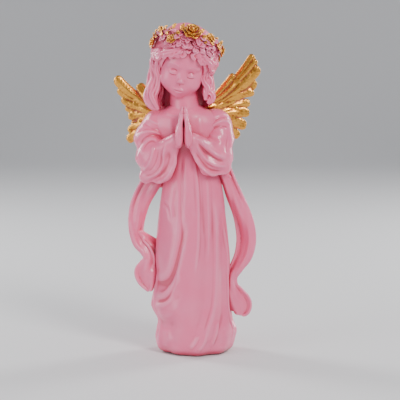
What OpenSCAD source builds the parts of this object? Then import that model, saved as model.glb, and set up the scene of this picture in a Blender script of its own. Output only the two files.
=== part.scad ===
// Standing angel figurine in cast resin, about 210 mm tall.
//
// The gown is a hollow casting closed by a plug and a felt pad. The head, hair, sleeves,
// praying hands, shawl ends and wings are cast apart, pinned or cemented to it, and the
// wings and the flower wreath are gilded. The figure faces -Y and +X is the viewer's right,
// so names with right_ and left_ are the figure's own sides. The origin is the middle of
// the felt pad's underside.

/* [Figure] */
// Overall size against the 210 mm original
size = 1; // [0.8:0.05:1.4]
// Width of the hem from side to side
hem_w = 49; // [46:0.5:52]
// Depth of the hem from front to back
hem_d = 43; // [40:0.5:46]
// Depth of the folds at the hem
fold_depth = 1.3; // [0.6:0.1:1.8]
// Number of folds round the hem
fold_count = 9; // [7:1:12]

/* [Casting] */
// Wall of the hollow gown
wall = 5; // [4:0.5:6]
// Diameter of the casting plug
plug_d = 28; // [22:1:30]
// Thickness of the felt pad
felt_t = 1.4; // [1:0.1:2]
// Diameter of the steel pins in the neck and wings
pin_d = 3; // [2:0.5:3.5]
// Gap all round a pin or the plug, filled with cement
cement_gap = 0.1; // [0.05:0.05:0.2]

/* [Head] */
// Bow of the head, degrees forward
bow = 14; // [8:1:18]
// Tilt of the head towards its left shoulder, degrees
tilt = 13; // [6:1:16]
// Turn of the head to its left, degrees
turn = 3; // [0:1:8]
// Half the width of the wreath
wreath_r = 20.5; // [20:0.5:22]
// Lift of the wreath's front above the head's own level, degrees
wreath_lift = 40; // [36:1:46]

/* [Hidden] */

pink = "#dc93aa";
gold = "#c9972f";
steel = "#9a9da1";
felt = "#5b4a44";

head_at = [-7.5, -1, 185];      // middle of the skull
neck_at = [-7, 0.5, 155];       // foot of the neck, on the gown
plug_h = 5;                     // height of the casting plug
floor_h = 7;                    // floor of the gown round the plug
hem_lift = 0.4;                 // hem above the table, because the felt stands proud
felt_inset = 3;                 // felt edge inside the hem
pin_l = 14;                     // length of a pin
wing_pin_y = 4;                 // inner end of the wing pins
wing_pin_z = 140;
right_pin_x = -13;
left_pin_x = 0;
neck_pin_z = 148;               // lower end of the neck pin
eps = 0.01;

// Gown from hem to neckline: [x, y, z, width, depth]
gown_stations = [
    [-0.6, 0, hem_lift, hem_w - 8, hem_d - 6], [-0.5, 0, 3, hem_w - 3, hem_d - 2],
    [-0.2, 0, 9, hem_w + 1, hem_d + 0.5], [0.3, 0, 15, hem_w, hem_d],
    [-0.4, 0, 21, hem_w - 3, hem_d - 2], [-2.4, 0, 28, hem_w - 1, hem_d - 2],
    [-3.2, 0.2, 34, hem_w - 0.5, hem_d - 2.5], [-2.4, 0.4, 46, hem_w - 3, hem_d - 4],
    [-2.7, 0.6, 60, hem_w - 2, hem_d - 5], [-2.8, 0.8, 72, hem_w - 3.5, hem_d - 7],
    [-2.6, 1, 84, hem_w - 5.5, hem_d - 9.5], [-2.5, 1.2, 95, hem_w - 8, hem_d - 12],
    [-2.8, 1.2, 107, hem_w - 11.5, hem_d - 15], [-3.6, 0.8, 119, hem_w - 15, hem_d - 17.5],
    [-5, 0.4, 129, hem_w - 14, hem_d - 18], [-6, 0.3, 138, hem_w - 10, hem_d - 18.5],
    [-6.2, 0.3, 146, hem_w - 7, hem_d - 18.5], [-6.5, 0.4, 151.4, hem_w - 12, hem_d - 21.5],
    [-7, 0.5, 155.5, hem_w - 29, hem_d - 27]
];

// Skull from chin to crown, about its own middle: [x, y, z, width, depth]
// Face from a drawing-book rule for a child: five heads to the figure, brow halfway down the
// head, then eyes, nose and mouth at quarters of the way to the chin, face five eyes wide
crown_z = 21.8;
head_h = 210 / 5;
chin_z = crown_z - head_h;
brow_z = crown_z - head_h / 2;
quarter = (brow_z - chin_z) / 4;
eye_z = brow_z - quarter;
nose_z = brow_z - 2 * quarter;
mouth_z = brow_z - 3 * quarter;
eye_w = 5.6;

skull_stations = [
    [0, -9, chin_z, 5, 6], [0, -8.3, chin_z + 1.4, 12, 13], [0, -6.4, mouth_z, 3.5 * eye_w, 21.6],
    [0, -3.6, nose_z, 4.5 * eye_w, 28.2], [0, -1.9, eye_z, 5 * eye_w, 32.2],
    [0, -1, brow_z, 5.3 * eye_w, 34.2], [0, 0, 6.5, 31, 36],
    [0, 0.8, 13, 29.5, 34], [0, 1, 18, 24, 27.5], [0, 1, 20.8, 14.5, 17], [0, 1, 21.8, 4, 5]
];

// Hair round the skull: [x, y, z, width, depth]
hair_stations = [
    [0, 7, -13, 28, 26], [0, 5, -10, 37, 34], [0, 3.5, -4, 43, 39],
    [0, 2.5, 4, 44, 42], [0, 2, 11, 41, 40], [0, 1.5, 17.5, 33, 32.5],
    [0, 1, 22.3, 20, 20], [0, 1, 24.2, 6, 6]
];

// Swept pieces: [x, y, z, width, thickness, roll]
hair_back_stations = [
    [-7.5, 12, 184, 36, 12, 0], [-8, 14, 175, 38, 11, 0], [-8.5, 13.5, 166, 38, 10, 0],
    [-9, 13.5, 158, 32, 8, 0], [-9, 14.5, 152, 20, 5, 0]
];
right_lock_stations = [
    [-26.5, -1, 186, 6, 9, 0], [-26.5, -2.5, 180, 7, 10, 5], [-25.5, -3.5, 174.5, 7, 9, 8],
    [-27, -3.5, 169, 9.5, 8.5, 5], [-28, -4, 162, 10.5, 8, 0], [-26, -5.5, 156.5, 7, 6, 0],
    [-24, -6.5, 153.5, 3, 3, 0]
];
left_lock_stations = [
    [11.5, -1, 185, 6, 9, 0], [9.5, -2.5, 179, 6.5, 10, 0], [8.5, -3.5, 173, 7, 9, 0],
    [9.5, -4, 167.5, 8, 8, 0], [9.5, -4.5, 162.5, 7, 6.5, 0], [7.5, -5.5, 159, 3, 3.5, 0]
];
shawl_back_stations = [
    [-29, 4, 112, 12, 4, 0], [-22, 13, 108, 13, 4, 0], [-3, 18.5, 104, 13.5, 4, 0],
    [14, 13, 109, 13, 4, 0], [20, 4, 114, 11, 4, 0]
];
right_shawl_stations = [
    [-25, 0, 112, 12, 4.5, 0], [-29.5, 0, 106, 13, 4, 6], [-34.6, 0.5, 97, 12.5, 3.4, 12],
    [-37, 1, 88.5, 12, 3.2, 15], [-38, 1, 81, 10.6, 3.2, 15], [-38.2, 0.5, 75, 8.4, 3.4, 10],
    [-36.2, -1, 69.5, 8, 3.6, 0], [-32.4, -2.2, 65.5, 7.6, 3.6, -10],
    [-30, -2.8, 60.4, 7.4, 3.6, -15], [-31, -3, 56, 11.2, 3.4, -10],
    [-32, -3.2, 51.6, 14.6, 3.2, -5], [-31.2, -3.4, 46.6, 12.6, 3, 0],
    [-30, -3.4, 42, 7.2, 2.4, 0], [-29.4, -3.4, 39, 1.4, 1.2, 0]
];
left_shawl_stations = [
    [17, 0, 117, 9, 4.5, 0], [20.6, 0.5, 109, 9, 4.2, 0], [24, 1, 100, 10.5, 3.8, -8],
    [27.6, 1.5, 91, 12, 3.6, -16], [30.6, 1.8, 81.5, 13.6, 3.6, -22],
    [32, 1.6, 71.5, 13.8, 3.6, -24], [30.4, 0.8, 62, 12, 3.6, -18],
    [26.2, -0.6, 54.5, 9, 3.8, -8], [22.4, -2, 48.5, 8, 4, 0], [22.4, -3, 42, 10, 3.8, 10],
    [25, -3.4, 36.4, 13, 3.4, 12], [27.8, -3.2, 31, 14.8, 3, 8], [28.4, -3, 26.6, 12.4, 2.6, 4],
    [27.4, -3, 23.6, 4, 2, 0]
];

// Praying hand, in its own frame with the palm on X = 0: [x, y, z, width, thickness, roll]
palm_stations = [
    [3.6, 0, -1, 7.4, 11, 0], [3.2, 0, 4, 6, 10.6, 0], [2.6, 0, 9, 4.8, 10.2, 0],
    [2.2, 0, 13, 4, 9.6, 0]
];

// Feathers: [base x, base z, tip x, tip z, width, bend]
left_feathers = [
    [14, 161, 37.4, 187.6, 5, -1.5], [15, 159, 39.8, 182.4, 6.5, -1.5],
    [14, 156, 38, 171.5, 7, -1], [13.5, 153, 36.2, 163, 7, 1.2],
    [14, 150.5, 33.6, 152.4, 6.5, 1.2], [15, 147, 32.4, 142, 6.5, 1],
    [16, 144, 26, 134.2, 5.5, 0.5]
];
left_coverts = [
    [9, 160, 27.5, 174, 5.5, -1], [9, 157, 29.5, 168, 6, -0.6], [9, 154, 28.5, 161, 6, 0.4],
    [10, 151, 26.5, 155, 6, 0.6], [11, 148, 26, 148.5, 5.5, 0.8], [12, 145, 24.5, 142, 5, 0.6]
];
right_feathers = [
    [-31, 157, -52, 173.8, 7, 1.5], [-31, 155, -47.8, 161.5, 7, 1.2],
    [-31, 152, -45.2, 154.6, 6.5, -0.8], [-31, 149.5, -42.8, 148.4, 6, -1],
    [-31, 147, -40.2, 143.2, 5.5, -1], [-32.5, 145, -43, 137.4, 5.5, -0.6],
    [-33.5, 142, -42.6, 131.8, 5, -0.5]
];
right_coverts = [
    [-29, 157, -36.4, 168.4, 5, -0.5], [-28, 155, -40.8, 162.6, 5.5, 0.8],
    [-28, 152, -39.4, 156, 5.5, 0.4], [-28, 149, -38, 150.6, 5.5, -0.4],
    [-29, 146, -37, 145.4, 5, -0.6]
];
wing_y = 17;                    // feather roots, behind the back
wing_sweep = 3;                 // feather tips lie this much further back
covert_y = 14.6;
// Wing arm from the pin to the wrist of the wing: [x, y, z, width, thickness, roll]
left_arm_stations = [
    [0, 14, 139, 11, 5, 0], [5, 15.5, 147, 13, 6, 0], [11, 16.5, 155, 12, 6, 0],
    [18, 17, 163, 8, 5, 0], [27, 18, 173, 5, 4, 0], [33, 19, 181, 2.5, 2.5, 0]
];
right_arm_stations = [
    [-13, 14, 139, 11, 5, 0], [-19, 15.5, 146, 13, 6, 0], [-26, 16.5, 152, 12, 6, 0],
    [-33, 17, 158, 8, 5, 0], [-40, 18, 164, 5, 4, 0], [-46, 19, 169, 2.5, 2.5, 0]
];

// Wreath pieces by angle round the wreath from its front: [angle, radius of the piece]
blossoms = [[-84, 4.4], [82, 3.8], [-30, 3], [36, 2.8], [140, 3.6], [-140, 3.8], [180, 4]];
wreath_flat = 0.94;              // depth of the wreath against its width
rose_angle = 4;
leaf_step = 15;                 // degrees from leaf to leaf

/* ---- curves and lofts ---- */

// Point of the Catmull-Rom curve through the list p, for t from 0 to 1
function curve(p, t) =
    let (
        n = len(p) - 1,
        s = min(t * n, n - 0.000001),
        i = floor(s),
        u = s - i,
        a = p[max(i - 1, 0)],
        b = p[i],
        c = p[i + 1],
        d = p[min(i + 2, n)]
    )
    0.5 * (2 * b + (c - a) * u + (2 * a - 5 * b + 4 * c - d) * u * u
        + (3 * b - a - 3 * c + d) * u * u * u);

function unit(v) = v / norm(v);

// Closed solid through rings of points, all with the same count
module loft(rings) {
    n = len(rings[0]);
    m = len(rings);
    ends = [for (ring = [rings[0], rings[m - 1]]) [for (k = [0 : 2]) ring_mean(ring, k)]];
    skin = [
        for (i = [0 : m - 2], j = [0 : n - 1])
            let (a = i * n + j, b = i * n + (j + 1) % n)
            each [[a, b, a + n], [b, b + n, a + n]]
    ];
    first_cap = [for (j = [0 : n - 1]) [m * n, (j + 1) % n, j]];
    last_cap = [for (j = [0 : n - 1]) [m * n + 1, (m - 1) * n + j, (m - 1) * n + (j + 1) % n]];
    polyhedron(
        points = concat([for (ring = rings) each ring], ends),
        faces = concat(skin, first_cap, last_cap)
    );
}

function ring_mean(ring, k) = [for (p = ring) p[k]] * [for (p = ring) 1] / len(ring);

// Upright body of oval level sections, shrunk by inset, with folds as deep as fold at its foot
module upright(stations, rings, sides, inset = 0, fold = 0, fold_top = 110) {
    loft([
        for (i = [0 : rings])
            let (
                s = curve(stations, i / rings),
                deep = fold * pow(max(1 - s[2] / fold_top, 0), 1.3)
            )
            [
                for (j = [0 : sides - 1])
                    let (
                        a = -360 * j / sides,
                        grow = deep * cos(fold_count * a + 0.9 * s[2]) - inset
                    )
                    [
                        s[0] + (s[3] / 2 + grow) * cos(a),
                        s[1] + (s[4] / 2 + grow) * sin(a),
                        s[2]
                    ]
            ]
    ]);
}

// Piece of oval section swept along its stations, each [x, y, z, width, thickness, roll]
module sweep(stations, rings, sides) {
    loft([
        for (i = [0 : rings])
            let (
                t = i / rings,
                s = curve(stations, t),
                step = curve(stations, min(t + 0.02, 1)) - curve(stations, max(t - 0.02, 0)),
                along = unit([step[0], step[1], step[2]]),
                flat = unit(cross(along, [0, 1, 0])),
                deep = cross(flat, along),
                across = flat * cos(s[5]) + deep * sin(s[5]),
                out = deep * cos(s[5]) - flat * sin(s[5])
            )
            [
                for (j = [0 : sides - 1])
                    let (a = 360 * j / sides)
                    [s[0], s[1], s[2]] + across * (s[3] / 2 * cos(a)) + out * (s[4] / 2 * sin(a))
            ]
    ]);
}

// Whatever is inside, taken as one closed shell
module moulded() {
    resize([0, 0, 0]) children();
}

module at_head() {
    translate(head_at) rotate([bow, tilt, turn]) children();
}

module at_wreath() {
    at_head() translate([0, 1.5, 10]) rotate([-wreath_lift, 0, 0]) children();
}

/* ---- base and gown ---- */

module gown_outside() {
    upright(gown_stations, 26, 40, 0, fold_depth);
}

module gown_cavity() {
    intersection() {
        upright(gown_stations, 12, 18, wall);
        translate([-50, -50, floor_h]) cube([100, 100, 112]);
    }
}

// Outline of the felt, moved in from the hem by inset
module felt_outline(inset) {
    polygon([
        for (j = [0 : 47])
            let (a = 360 * j / 48)
            [
                gown_stations[0][0] + ((hem_w - 8) / 2 - inset) * cos(a),
                ((hem_d - 6) / 2 - inset) * sin(a)
            ]
    ]);
}

module felt_pad() {
    color(felt) linear_extrude(felt_t) felt_outline(felt_inset);
}

module base_plug() {
    color(pink) translate([gown_stations[0][0], 0, felt_t]) cylinder(h = plug_h, d = plug_d, $fn = 64);
}

module pin_bore(at, axis, length) {
    translate(at) rotate(axis) cylinder(h = length, d = pin_d + 2 * cement_gap, $fn = 32);
}

module gown() {
    color(pink) difference() {
        moulded() difference() {
            gown_outside();
            gown_cavity();
            translate([0, 0, -1]) linear_extrude(1 + felt_t) felt_outline(felt_inset - 0.2);
            // rough hole through the floor, before the seat of the plug is bored
            translate([gown_stations[0][0], 0, 0]) cylinder(h = floor_h + 1, d = plug_d - 2, $fn = 12);
        }
        translate([gown_stations[0][0], 0, felt_t - eps])
            cylinder(h = floor_h, d = plug_d + 2 * cement_gap, $fn = 64);
        pin_bore([neck_at[0], neck_at[1], neck_pin_z], [0, 0, 0], pin_l);
        pin_bore([right_pin_x, wing_pin_y, wing_pin_z], [-90, 0, 0], pin_l);
        pin_bore([left_pin_x, wing_pin_y, wing_pin_z], [-90, 0, 0], pin_l);
    }
}

module pin(at, axis) {
    color(steel) translate(at) rotate(axis) cylinder(h = pin_l, d = pin_d, $fn = 32);
}

module neck_pin() {
    pin([neck_at[0], neck_at[1], neck_pin_z], [0, 0, 0]);
}

module right_wing_pin() {
    pin([right_pin_x, wing_pin_y, wing_pin_z], [-90, 0, 0]);
}

module left_wing_pin() {
    pin([left_pin_x, wing_pin_y, wing_pin_z], [-90, 0, 0]);
}

/* ---- head, hair and wreath ---- */

module skull() {
    at_head() upright(skull_stations, 12, 22);
}

module neck() {
    sweep([
        [neck_at[0], neck_at[1], neck_at[2] - 2.5, 16, 14, 0],
        [neck_at[0], neck_at[1], neck_at[2] + 2, 12, 12, 0],
        [neck_at[0], 0.8, 163, 11.5, 12, 0], [neck_at[0], 1, 170, 13, 14, 0]
    ], 5, 16);
}

module head_outside() {
    skull();
    neck();
}

module features() {
    at_head() {
        translate([0, -17.2, nose_z + 1.4]) sphere(r = 2, $fn = 12);
        for (side = [-1, 1]) {
            translate([side * eye_w, -14.2, eye_z]) sphere(r = eye_w / 2, $fn = 12);
            translate([side * 1.25 * eye_w, -11.2, nose_z - 1.2]) sphere(r = 4.9, $fn = 12);
        }
        translate([0, -12.8, chin_z + 2.8]) sphere(r = 2.8, $fn = 12);
    }
}

module head() {
    color(pink) difference() {
        moulded() difference() {
            union() {
                head_outside();
                features();
            }
            gown_outside();
        }
        pin_bore([neck_at[0], neck_at[1], neck_pin_z], [0, 0, 0], pin_l);
    }
}

module hair_body() {
    at_head() difference() {
        upright(hair_stations, 10, 24);
        translate([0, -6, -12]) rotate([90, 0, 0])
            linear_extrude(30) scale([28 / 32, 1]) circle(d = 32, $fn = 24);
    }
}

module hair_cap() {
    color(pink) moulded() difference() {
        hair_body();
        head_outside();
    }
}

module hair_back() {
    color(pink) moulded() difference() {
        sweep(hair_back_stations, 8, 16);
        hair_body();
        head_outside();
        gown_outside();
    }
}

module lock_of(stations) {
    color(pink) moulded() difference() {
        sweep(stations, 12, 10);
        hair_body();
        sweep(hair_back_stations, 8, 16);
        head_outside();
        gown_outside();
    }
}

module right_lock() {
    lock_of(right_lock_stations);
}

module left_lock() {
    lock_of(left_lock_stations);
}

// A flower of rounded petals on a button
module blossom(r) {
    for (k = [0 : 4])
        rotate([0, 0, 72 * k]) translate([r * 0.55, 0, 0]) sphere(r = r * 0.48, $fn = 8);
    translate([0, 0, r * 0.25]) sphere(r = r * 0.34, $fn = 8);
}

// Children stand on the wreath at that angle from its front, facing outwards
module on_wreath(angle, lift = 0) {
    r = wreath_r + lift;
    at_wreath() translate([r * sin(angle), -wreath_flat * r * cos(angle), 0])
        rotate([0, 0, angle]) rotate([90, 0, 0]) children();
}

module wreath_ring() {
    at_wreath() scale([1, wreath_flat, 1]) rotate_extrude($fn = 36) translate([wreath_r - 0.6, 0]) circle(r = 1.3, $fn = 8);
}

module wreath_vine() {
    color(pink) moulded() difference() {
        wreath_ring();
        hair_body();
        head_outside();
    }
}

module rose_shape() {
    on_wreath(rose_angle, 0.2) translate([0, 1.2, 0]) rotate([-16, 0, 0]) {
        for (row = [0 : 2], k = [0 : 4])
            rotate([0, 0, 72 * k + 36 * row])
                translate([5 - 1.9 * row, 0, 1.1 * row]) sphere(r = 2.5 - 0.45 * row, $fn = 9);
        sphere(r = 3.4, $fn = 10);
    }
}

module blossoms_shape() {
    for (b = blossoms) on_wreath(b[0], 1.2) blossom(b[1]);
}

module trimmed_to_hair() {
    color(gold) moulded() difference() {
        children();
        wreath_ring();
        hair_body();
        head_outside();
    }
}

module wreath_rose() {
    trimmed_to_hair() rose_shape();
}

module wreath_blossoms() {
    trimmed_to_hair() difference() {
        blossoms_shape();
        rose_shape();
    }
}

module wreath_leaves() {
    trimmed_to_hair() difference() {
        for (angle = [leaf_step / 2 : leaf_step : 359])
            on_wreath(angle, 0.8) rotate([0, 0, angle % 2 < 1 ? 50 : -50]) translate([2.2, 0, 0])
                rotate([0, 90, 0]) cylinder(h = 3.2, r1 = 1.5, r2 = 0.3, center = true, $fn = 5);
        blossoms_shape();
        rose_shape();
    }
}

/* ---- sleeves and hands ---- */

module ball(at, r) {
    translate(at) sphere(r = r, $fn = 16);
}

// Wide sleeve: upper arm, forearm and the hanging cuff
module sleeve_shape(shoulder, elbow, wrist, cuff_out, cuff_in) {
    hull() {
        ball(shoulder, 9.6);
        ball(elbow, 8.5);
    }
    hull() {
        ball(elbow, 8.5);
        ball(wrist, 5.2);
        ball(cuff_out, 5.6);
        ball(cuff_in, 3.4);
    }
}

module right_sleeve_shape() {
    sleeve_shape([-24, 1.5, 145], [-30.8, -3, 129], [-14, -15, 132], [-30, -6, 112.6], [-18.5, -11, 114]);
}

module left_sleeve_shape() {
    sleeve_shape([13, 1.5, 146], [15.5, -3, 130], [-0.4, -15, 131.5], [16.4, -6, 118.6], [8.5, -11, 115.8]);
}

module right_sleeve() {
    color(pink) moulded() difference() {
        right_sleeve_shape();
        gown_outside();
        sweep(right_lock_stations, 12, 10);
        hand_shape(-1);
    }
}

module left_sleeve() {
    color(pink) moulded() difference() {
        left_sleeve_shape();
        gown_outside();
        sweep(left_lock_stations, 12, 10);
        hand_shape(1);
    }
}

module finger(y, length, r) {
    sweep([
        [2.2, y, 11, 2 * r, 2 * r, 0], [1.7, y * 0.97, 15, 2 * r, 2 * r, 0],
        [1.2, y * 0.92, 11 + length * 0.7, 1.8 * r, 1.8 * r, 0],
        [0.9, y * 0.88, 11 + length, 0.8 * r, 0.8 * r, 0]
    ], 4, 8);
}

// One hand of the praying pair, on the side given by the sign of side
module hand_shape(side) {
    translate([-7.6, -18.5, 133.5]) rotate([6, 0, 0]) mirror([side > 0 ? 0 : 1, 0, 0]) intersection() {
        union() {
            sweep(palm_stations, 4, 12);
            finger(-4, 10.4, 1.25);
            finger(-1.4, 12.6, 1.35);
            finger(1.4, 13, 1.4);
            finger(4, 12, 1.3);
            sweep([
                [3, 4.6, 2, 4, 3.6, 0], [2.6, 6, 8, 3.4, 3.2, 0], [2, 6.6, 13, 2.8, 2.8, 0],
                [1.4, 6.4, 16, 1.2, 1.2, 0]
            ], 5, 8);
        }
        translate([0.02, -20, -10]) cube([20, 40, 60]);
    }
}

module hand_of(side) {
    color(pink) moulded() difference() {
        hand_shape(side);
        gown_outside();
        head_outside();
    }
}

module right_hand() {
    hand_of(-1);
}

module left_hand() {
    hand_of(1);
}

/* ---- shawl ---- */

module sleeves_shape() {
    right_sleeve_shape();
    left_sleeve_shape();
}

module right_shawl() {
    color(pink) moulded() difference() {
        union() {
            sweep(right_shawl_stations, 34, 12);
            // inner layer of the turned fold, which carries the end on the gown
            sweep([
                [-36.5, 0.5, 75.5, 2.5, 2.5, 0], [-32, 0.8, 71.5, 8, 2.8, 60],
                [-27, 1, 66, 12, 3, 60], [-22, 1.5, 62, 12, 3, 60]
            ], 6, 8);
        }
        sleeves_shape();
        gown_outside();
    }
}

module left_shawl() {
    color(pink) moulded() difference() {
        sweep(left_shawl_stations, 34, 12);
        sleeves_shape();
        gown_outside();
    }
}

module shawl_back() {
    color(pink) moulded() difference() {
        sweep(shawl_back_stations, 16, 10);
        sleeves_shape();
        gown_outside();
        sweep(right_shawl_stations, 34, 12);
        sweep(left_shawl_stations, 34, 12);
    }
}

/* ---- wings ---- */

// One feather in plan, f = [base x, base z, tip x, tip z, width, bend]
module feather(f, y, sweep_back) {
    base = [f[0], y, f[1]];
    tip = [f[2], y + sweep_back, f[3]];
    side = unit(cross(tip - base, [0, 1, 0]));
    spine = [for (s = [[0, 0.6, 2.4], [0.35, 1, 2.2], [0.7, 0.95, 1.8], [0.92, 0.6, 1.4], [1, 0.15, 0.8]])
        let (p = base + (tip - base) * s[0] + side * (4 * f[5] * s[0] * (1 - s[0])))
        [p[0], p[1], p[2], f[4] * s[1], s[2], 0]];
    sweep(spine, 4, 6);
}

module wing_shape(arm, feathers, coverts) {
    sweep(arm, 8, 10);
    for (f = feathers) feather(f, wing_y, wing_sweep);
    for (f = coverts) feather(f, covert_y, wing_sweep);
}

module wing_of(arm, feathers, coverts, pin_x) {
    color(gold) difference() {
        moulded() difference() {
            wing_shape(arm, feathers, coverts);
            gown_outside();
            sleeves_shape();
            hair_body();
            sweep(hair_back_stations, 8, 16);
            sweep(right_lock_stations, 12, 10);
            sweep(left_lock_stations, 12, 10);
        }
        pin_bore([pin_x, wing_pin_y, wing_pin_z], [-90, 0, 0], pin_l);
    }
}

module right_wing() {
    wing_of(right_arm_stations, right_feathers, right_coverts, right_pin_x);
}

module left_wing() {
    wing_of(left_arm_stations, left_feathers, left_coverts, left_pin_x);
}

scale(size) {
    felt_pad();
    base_plug();
    gown();
    neck_pin();
    head();
    hair_cap();
    hair_back();
    right_lock();
    left_lock();
    wreath_vine();
    wreath_rose();
    wreath_blossoms();
    wreath_leaves();
    right_sleeve();
    left_sleeve();
    right_hand();
    left_hand();
    shawl_back();
    right_shawl();
    left_shawl();
    right_wing();
    left_wing();
    right_wing_pin();
    left_wing_pin();
}
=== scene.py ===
"""Praying angel figurine in glossy pink resin, with a gilded wreath and wings.

Lengths are millimetres in the CAD model's own frame until write_mesh() makes them metres.
The figure faces -Y and +X is the viewer's right. Names with right_ and left_ are the
figure's own sides. Every resin casting is modelled as clay: a dense mesh that is built
from soft bodies or cross-sections and then pressed with strokes.
"""
import math

import bpy
import numpy as np
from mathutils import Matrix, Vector


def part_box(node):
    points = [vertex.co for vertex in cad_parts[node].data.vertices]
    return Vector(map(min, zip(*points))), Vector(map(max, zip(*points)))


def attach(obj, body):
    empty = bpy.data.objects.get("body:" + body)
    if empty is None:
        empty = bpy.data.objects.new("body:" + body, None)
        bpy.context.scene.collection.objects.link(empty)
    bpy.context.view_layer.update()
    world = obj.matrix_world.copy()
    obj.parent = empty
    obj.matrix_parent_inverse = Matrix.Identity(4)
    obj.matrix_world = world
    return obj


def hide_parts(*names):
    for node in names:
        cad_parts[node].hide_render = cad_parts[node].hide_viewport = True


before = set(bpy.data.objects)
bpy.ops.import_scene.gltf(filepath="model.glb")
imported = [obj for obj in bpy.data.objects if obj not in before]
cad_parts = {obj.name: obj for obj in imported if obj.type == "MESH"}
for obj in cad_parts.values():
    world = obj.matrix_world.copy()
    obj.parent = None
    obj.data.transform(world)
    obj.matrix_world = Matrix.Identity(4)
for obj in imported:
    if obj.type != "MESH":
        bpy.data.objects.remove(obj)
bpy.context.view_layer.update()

MM = 0.001
rng = np.random.default_rng(7)


def low(node):
    return np.array(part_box(node)[0]) / MM


def high(node):
    return np.array(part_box(node)[1]) / MM


# ------------------------------------------------------------------ curves and small sums

def spline(points, count):
    """Evenly spaced points of the Catmull-Rom curve through a list of points."""
    p = np.asarray(points, float)
    p = np.concatenate([2 * p[:1] - p[1:2], p, 2 * p[-1:] - p[-2:-1]])
    t = np.linspace(0, len(p) - 3, count)
    i = np.minimum(t.astype(int), len(p) - 4)
    u = (t - i).reshape((-1,) + (1,) * (p.ndim - 1))
    a, b, c, d = (p[i + k] for k in range(4))
    return 0.5 * (2 * b + (c - a) * u + (2 * a - 5 * b + 4 * c - d) * u**2
                  + (3 * b - a - 3 * c + d) * u**3)


def unit(v):
    return v / np.maximum(np.linalg.norm(v, axis=-1, keepdims=True), 1e-9)


def bell(x):
    return np.exp(-x * x)


def ramp(x, start, end):
    """Smooth rise from 0 at start to 1 at end."""
    t = np.clip((x - start) / (end - start), 0, 1)
    return t * t * (3 - 2 * t)


def turned(points, degrees, axis):
    """Points turned about X, Y or Z (0, 1 or 2)."""
    a = math.radians(degrees)
    i, j = (axis + 1) % 3, (axis + 2) % 3
    out = np.array(points, float)
    out[..., i] = points[..., i] * math.cos(a) - points[..., j] * math.sin(a)
    out[..., j] = points[..., i] * math.sin(a) + points[..., j] * math.cos(a)
    return out


# ------------------------------------------------------------------ clay

class Clay:
    """A mesh of quads, where a triangle repeats its last corner."""

    def __init__(self, verts, faces):
        self.v = np.asarray(verts, float)
        self.f = np.asarray(faces, int)
        e = np.vstack([self.f[:, [k, (k + 1) % 4]] for k in range(4)])
        e = e[e[:, 0] != e[:, 1]]
        self.e = np.vstack([e, e[:, ::-1]])
        self.count = np.bincount(self.e[:, 0], minlength=len(self.v))

    def gather(self, index, values):
        return np.stack([np.bincount(index, values[:, k], len(self.v)) for k in range(3)], 1)

    def normals(self):
        a, b, c, d = (self.v[self.f[:, k]] for k in range(4))
        n = np.cross(c - a, d - b)
        return unit(sum(self.gather(self.f[:, k], n) for k in range(4)))

    def mean(self, v):
        return self.gather(self.e[:, 0], v[self.e[:, 1]]) / self.count[:, None]

    def smooth(self, times, share=0.5):
        for _ in range(times):
            self.v += share * (self.mean(self.v) - self.v)
        return self

    def hollowness(self):
        """From -1 on a sharp edge to 1 in a deep crease."""
        n, fine = self.normals(), self.v
        for _ in range(5):
            fine = 0.5 * (fine + self.mean(fine))
        wide = fine
        for _ in range(26):
            wide = 0.5 * (wide + self.mean(wide))
        near = np.sum((fine - self.v) * n, 1) / 0.10
        far = np.sum((wide - self.v) * n, 1) / 0.45
        return np.clip(0.5 * near + 0.7 * far, -1, 1)

    def emboss(self, strokes, view="front"):
        """Raise ridges (height > 0) or press creases (height < 0) along strokes.

        A stroke is (height, width, crisp, points in the plane of the view). crisp is 1 for a
        sharp left side, -1 for a sharp right side, seen along the stroke, and 0 for neither.
        """
        axis, sign = {"front": (1, -1), "back": (1, 1), "right": (0, -1), "left": (0, 1)}[view]
        n = self.normals()
        plane = self.v[:, [1 - axis, 2]]
        faces_view = ramp(sign * n[:, axis], -0.05, 0.6)
        total = np.zeros(len(self.v))
        for height, width, crisp, points in strokes:
            total += height * stroke(plane, points, width, crisp)
        self.v += n * (total * faces_view)[:, None]
        return self


def stroke(plane, points, width, crisp):
    """Height from 0 to 1 of a ridge with soft ends along a curve in a plane."""
    line = spline(points, 8 * len(points))
    out = np.zeros(len(plane))
    near = np.all((plane > line.min(0) - 2.4 * width) & (plane < line.max(0) + 2.4 * width), 1)
    p = plane[near][:, None]
    a, d = line[:-1], np.diff(line, axis=0)
    along = np.clip(np.sum((p - a) * d, 2) / np.sum(d * d, 1), 0, 1)
    gap = p - a - along[..., None] * d
    dist = np.sum(gap * gap, 2)
    best = np.argmin(dist, 1)
    pick = np.arange(len(best)), best
    side = np.sign(d[best, 0] * gap[pick][:, 1] - d[best, 1] * gap[pick][:, 0])
    t = (best + along[pick]) / len(a)
    soft = width * np.where(side == crisp, 0.35, 1.0)
    ends = ramp(np.minimum(t, 1 - t), 0, 0.22)
    out[near] = bell(np.sqrt(dist[pick]) / soft) * ends
    return out


def grid_faces(rows, cols, wrap):
    i, j = np.meshgrid(np.arange(rows - 1), np.arange(cols if wrap else cols - 1), indexing="ij")
    a, b = i * cols + j, i * cols + (j + 1) % cols
    return np.stack([a, b, b + cols, a + cols], -1).reshape(-1, 4)


def loft(rings):
    """Closed clay through rings of points that run the same way round, capped by a pole."""
    rows, cols = rings.shape[:2]
    faces = [grid_faces(rows, cols, True)]
    for ring, pole, flip in ((0, rows * cols, True), (rows - 1, rows * cols + 1, False)):
        j = np.arange(cols)
        a, b = ring * cols + j, ring * cols + (j + 1) % cols
        p = np.full(cols, pole)
        faces.append(np.stack([p, b, a, a] if flip else [p, a, b, b], 1))
    poles = rings[[0, -1]].mean(1)
    return Clay(np.vstack([rings.reshape(-1, 3), poles]), np.vstack(faces))


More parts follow.
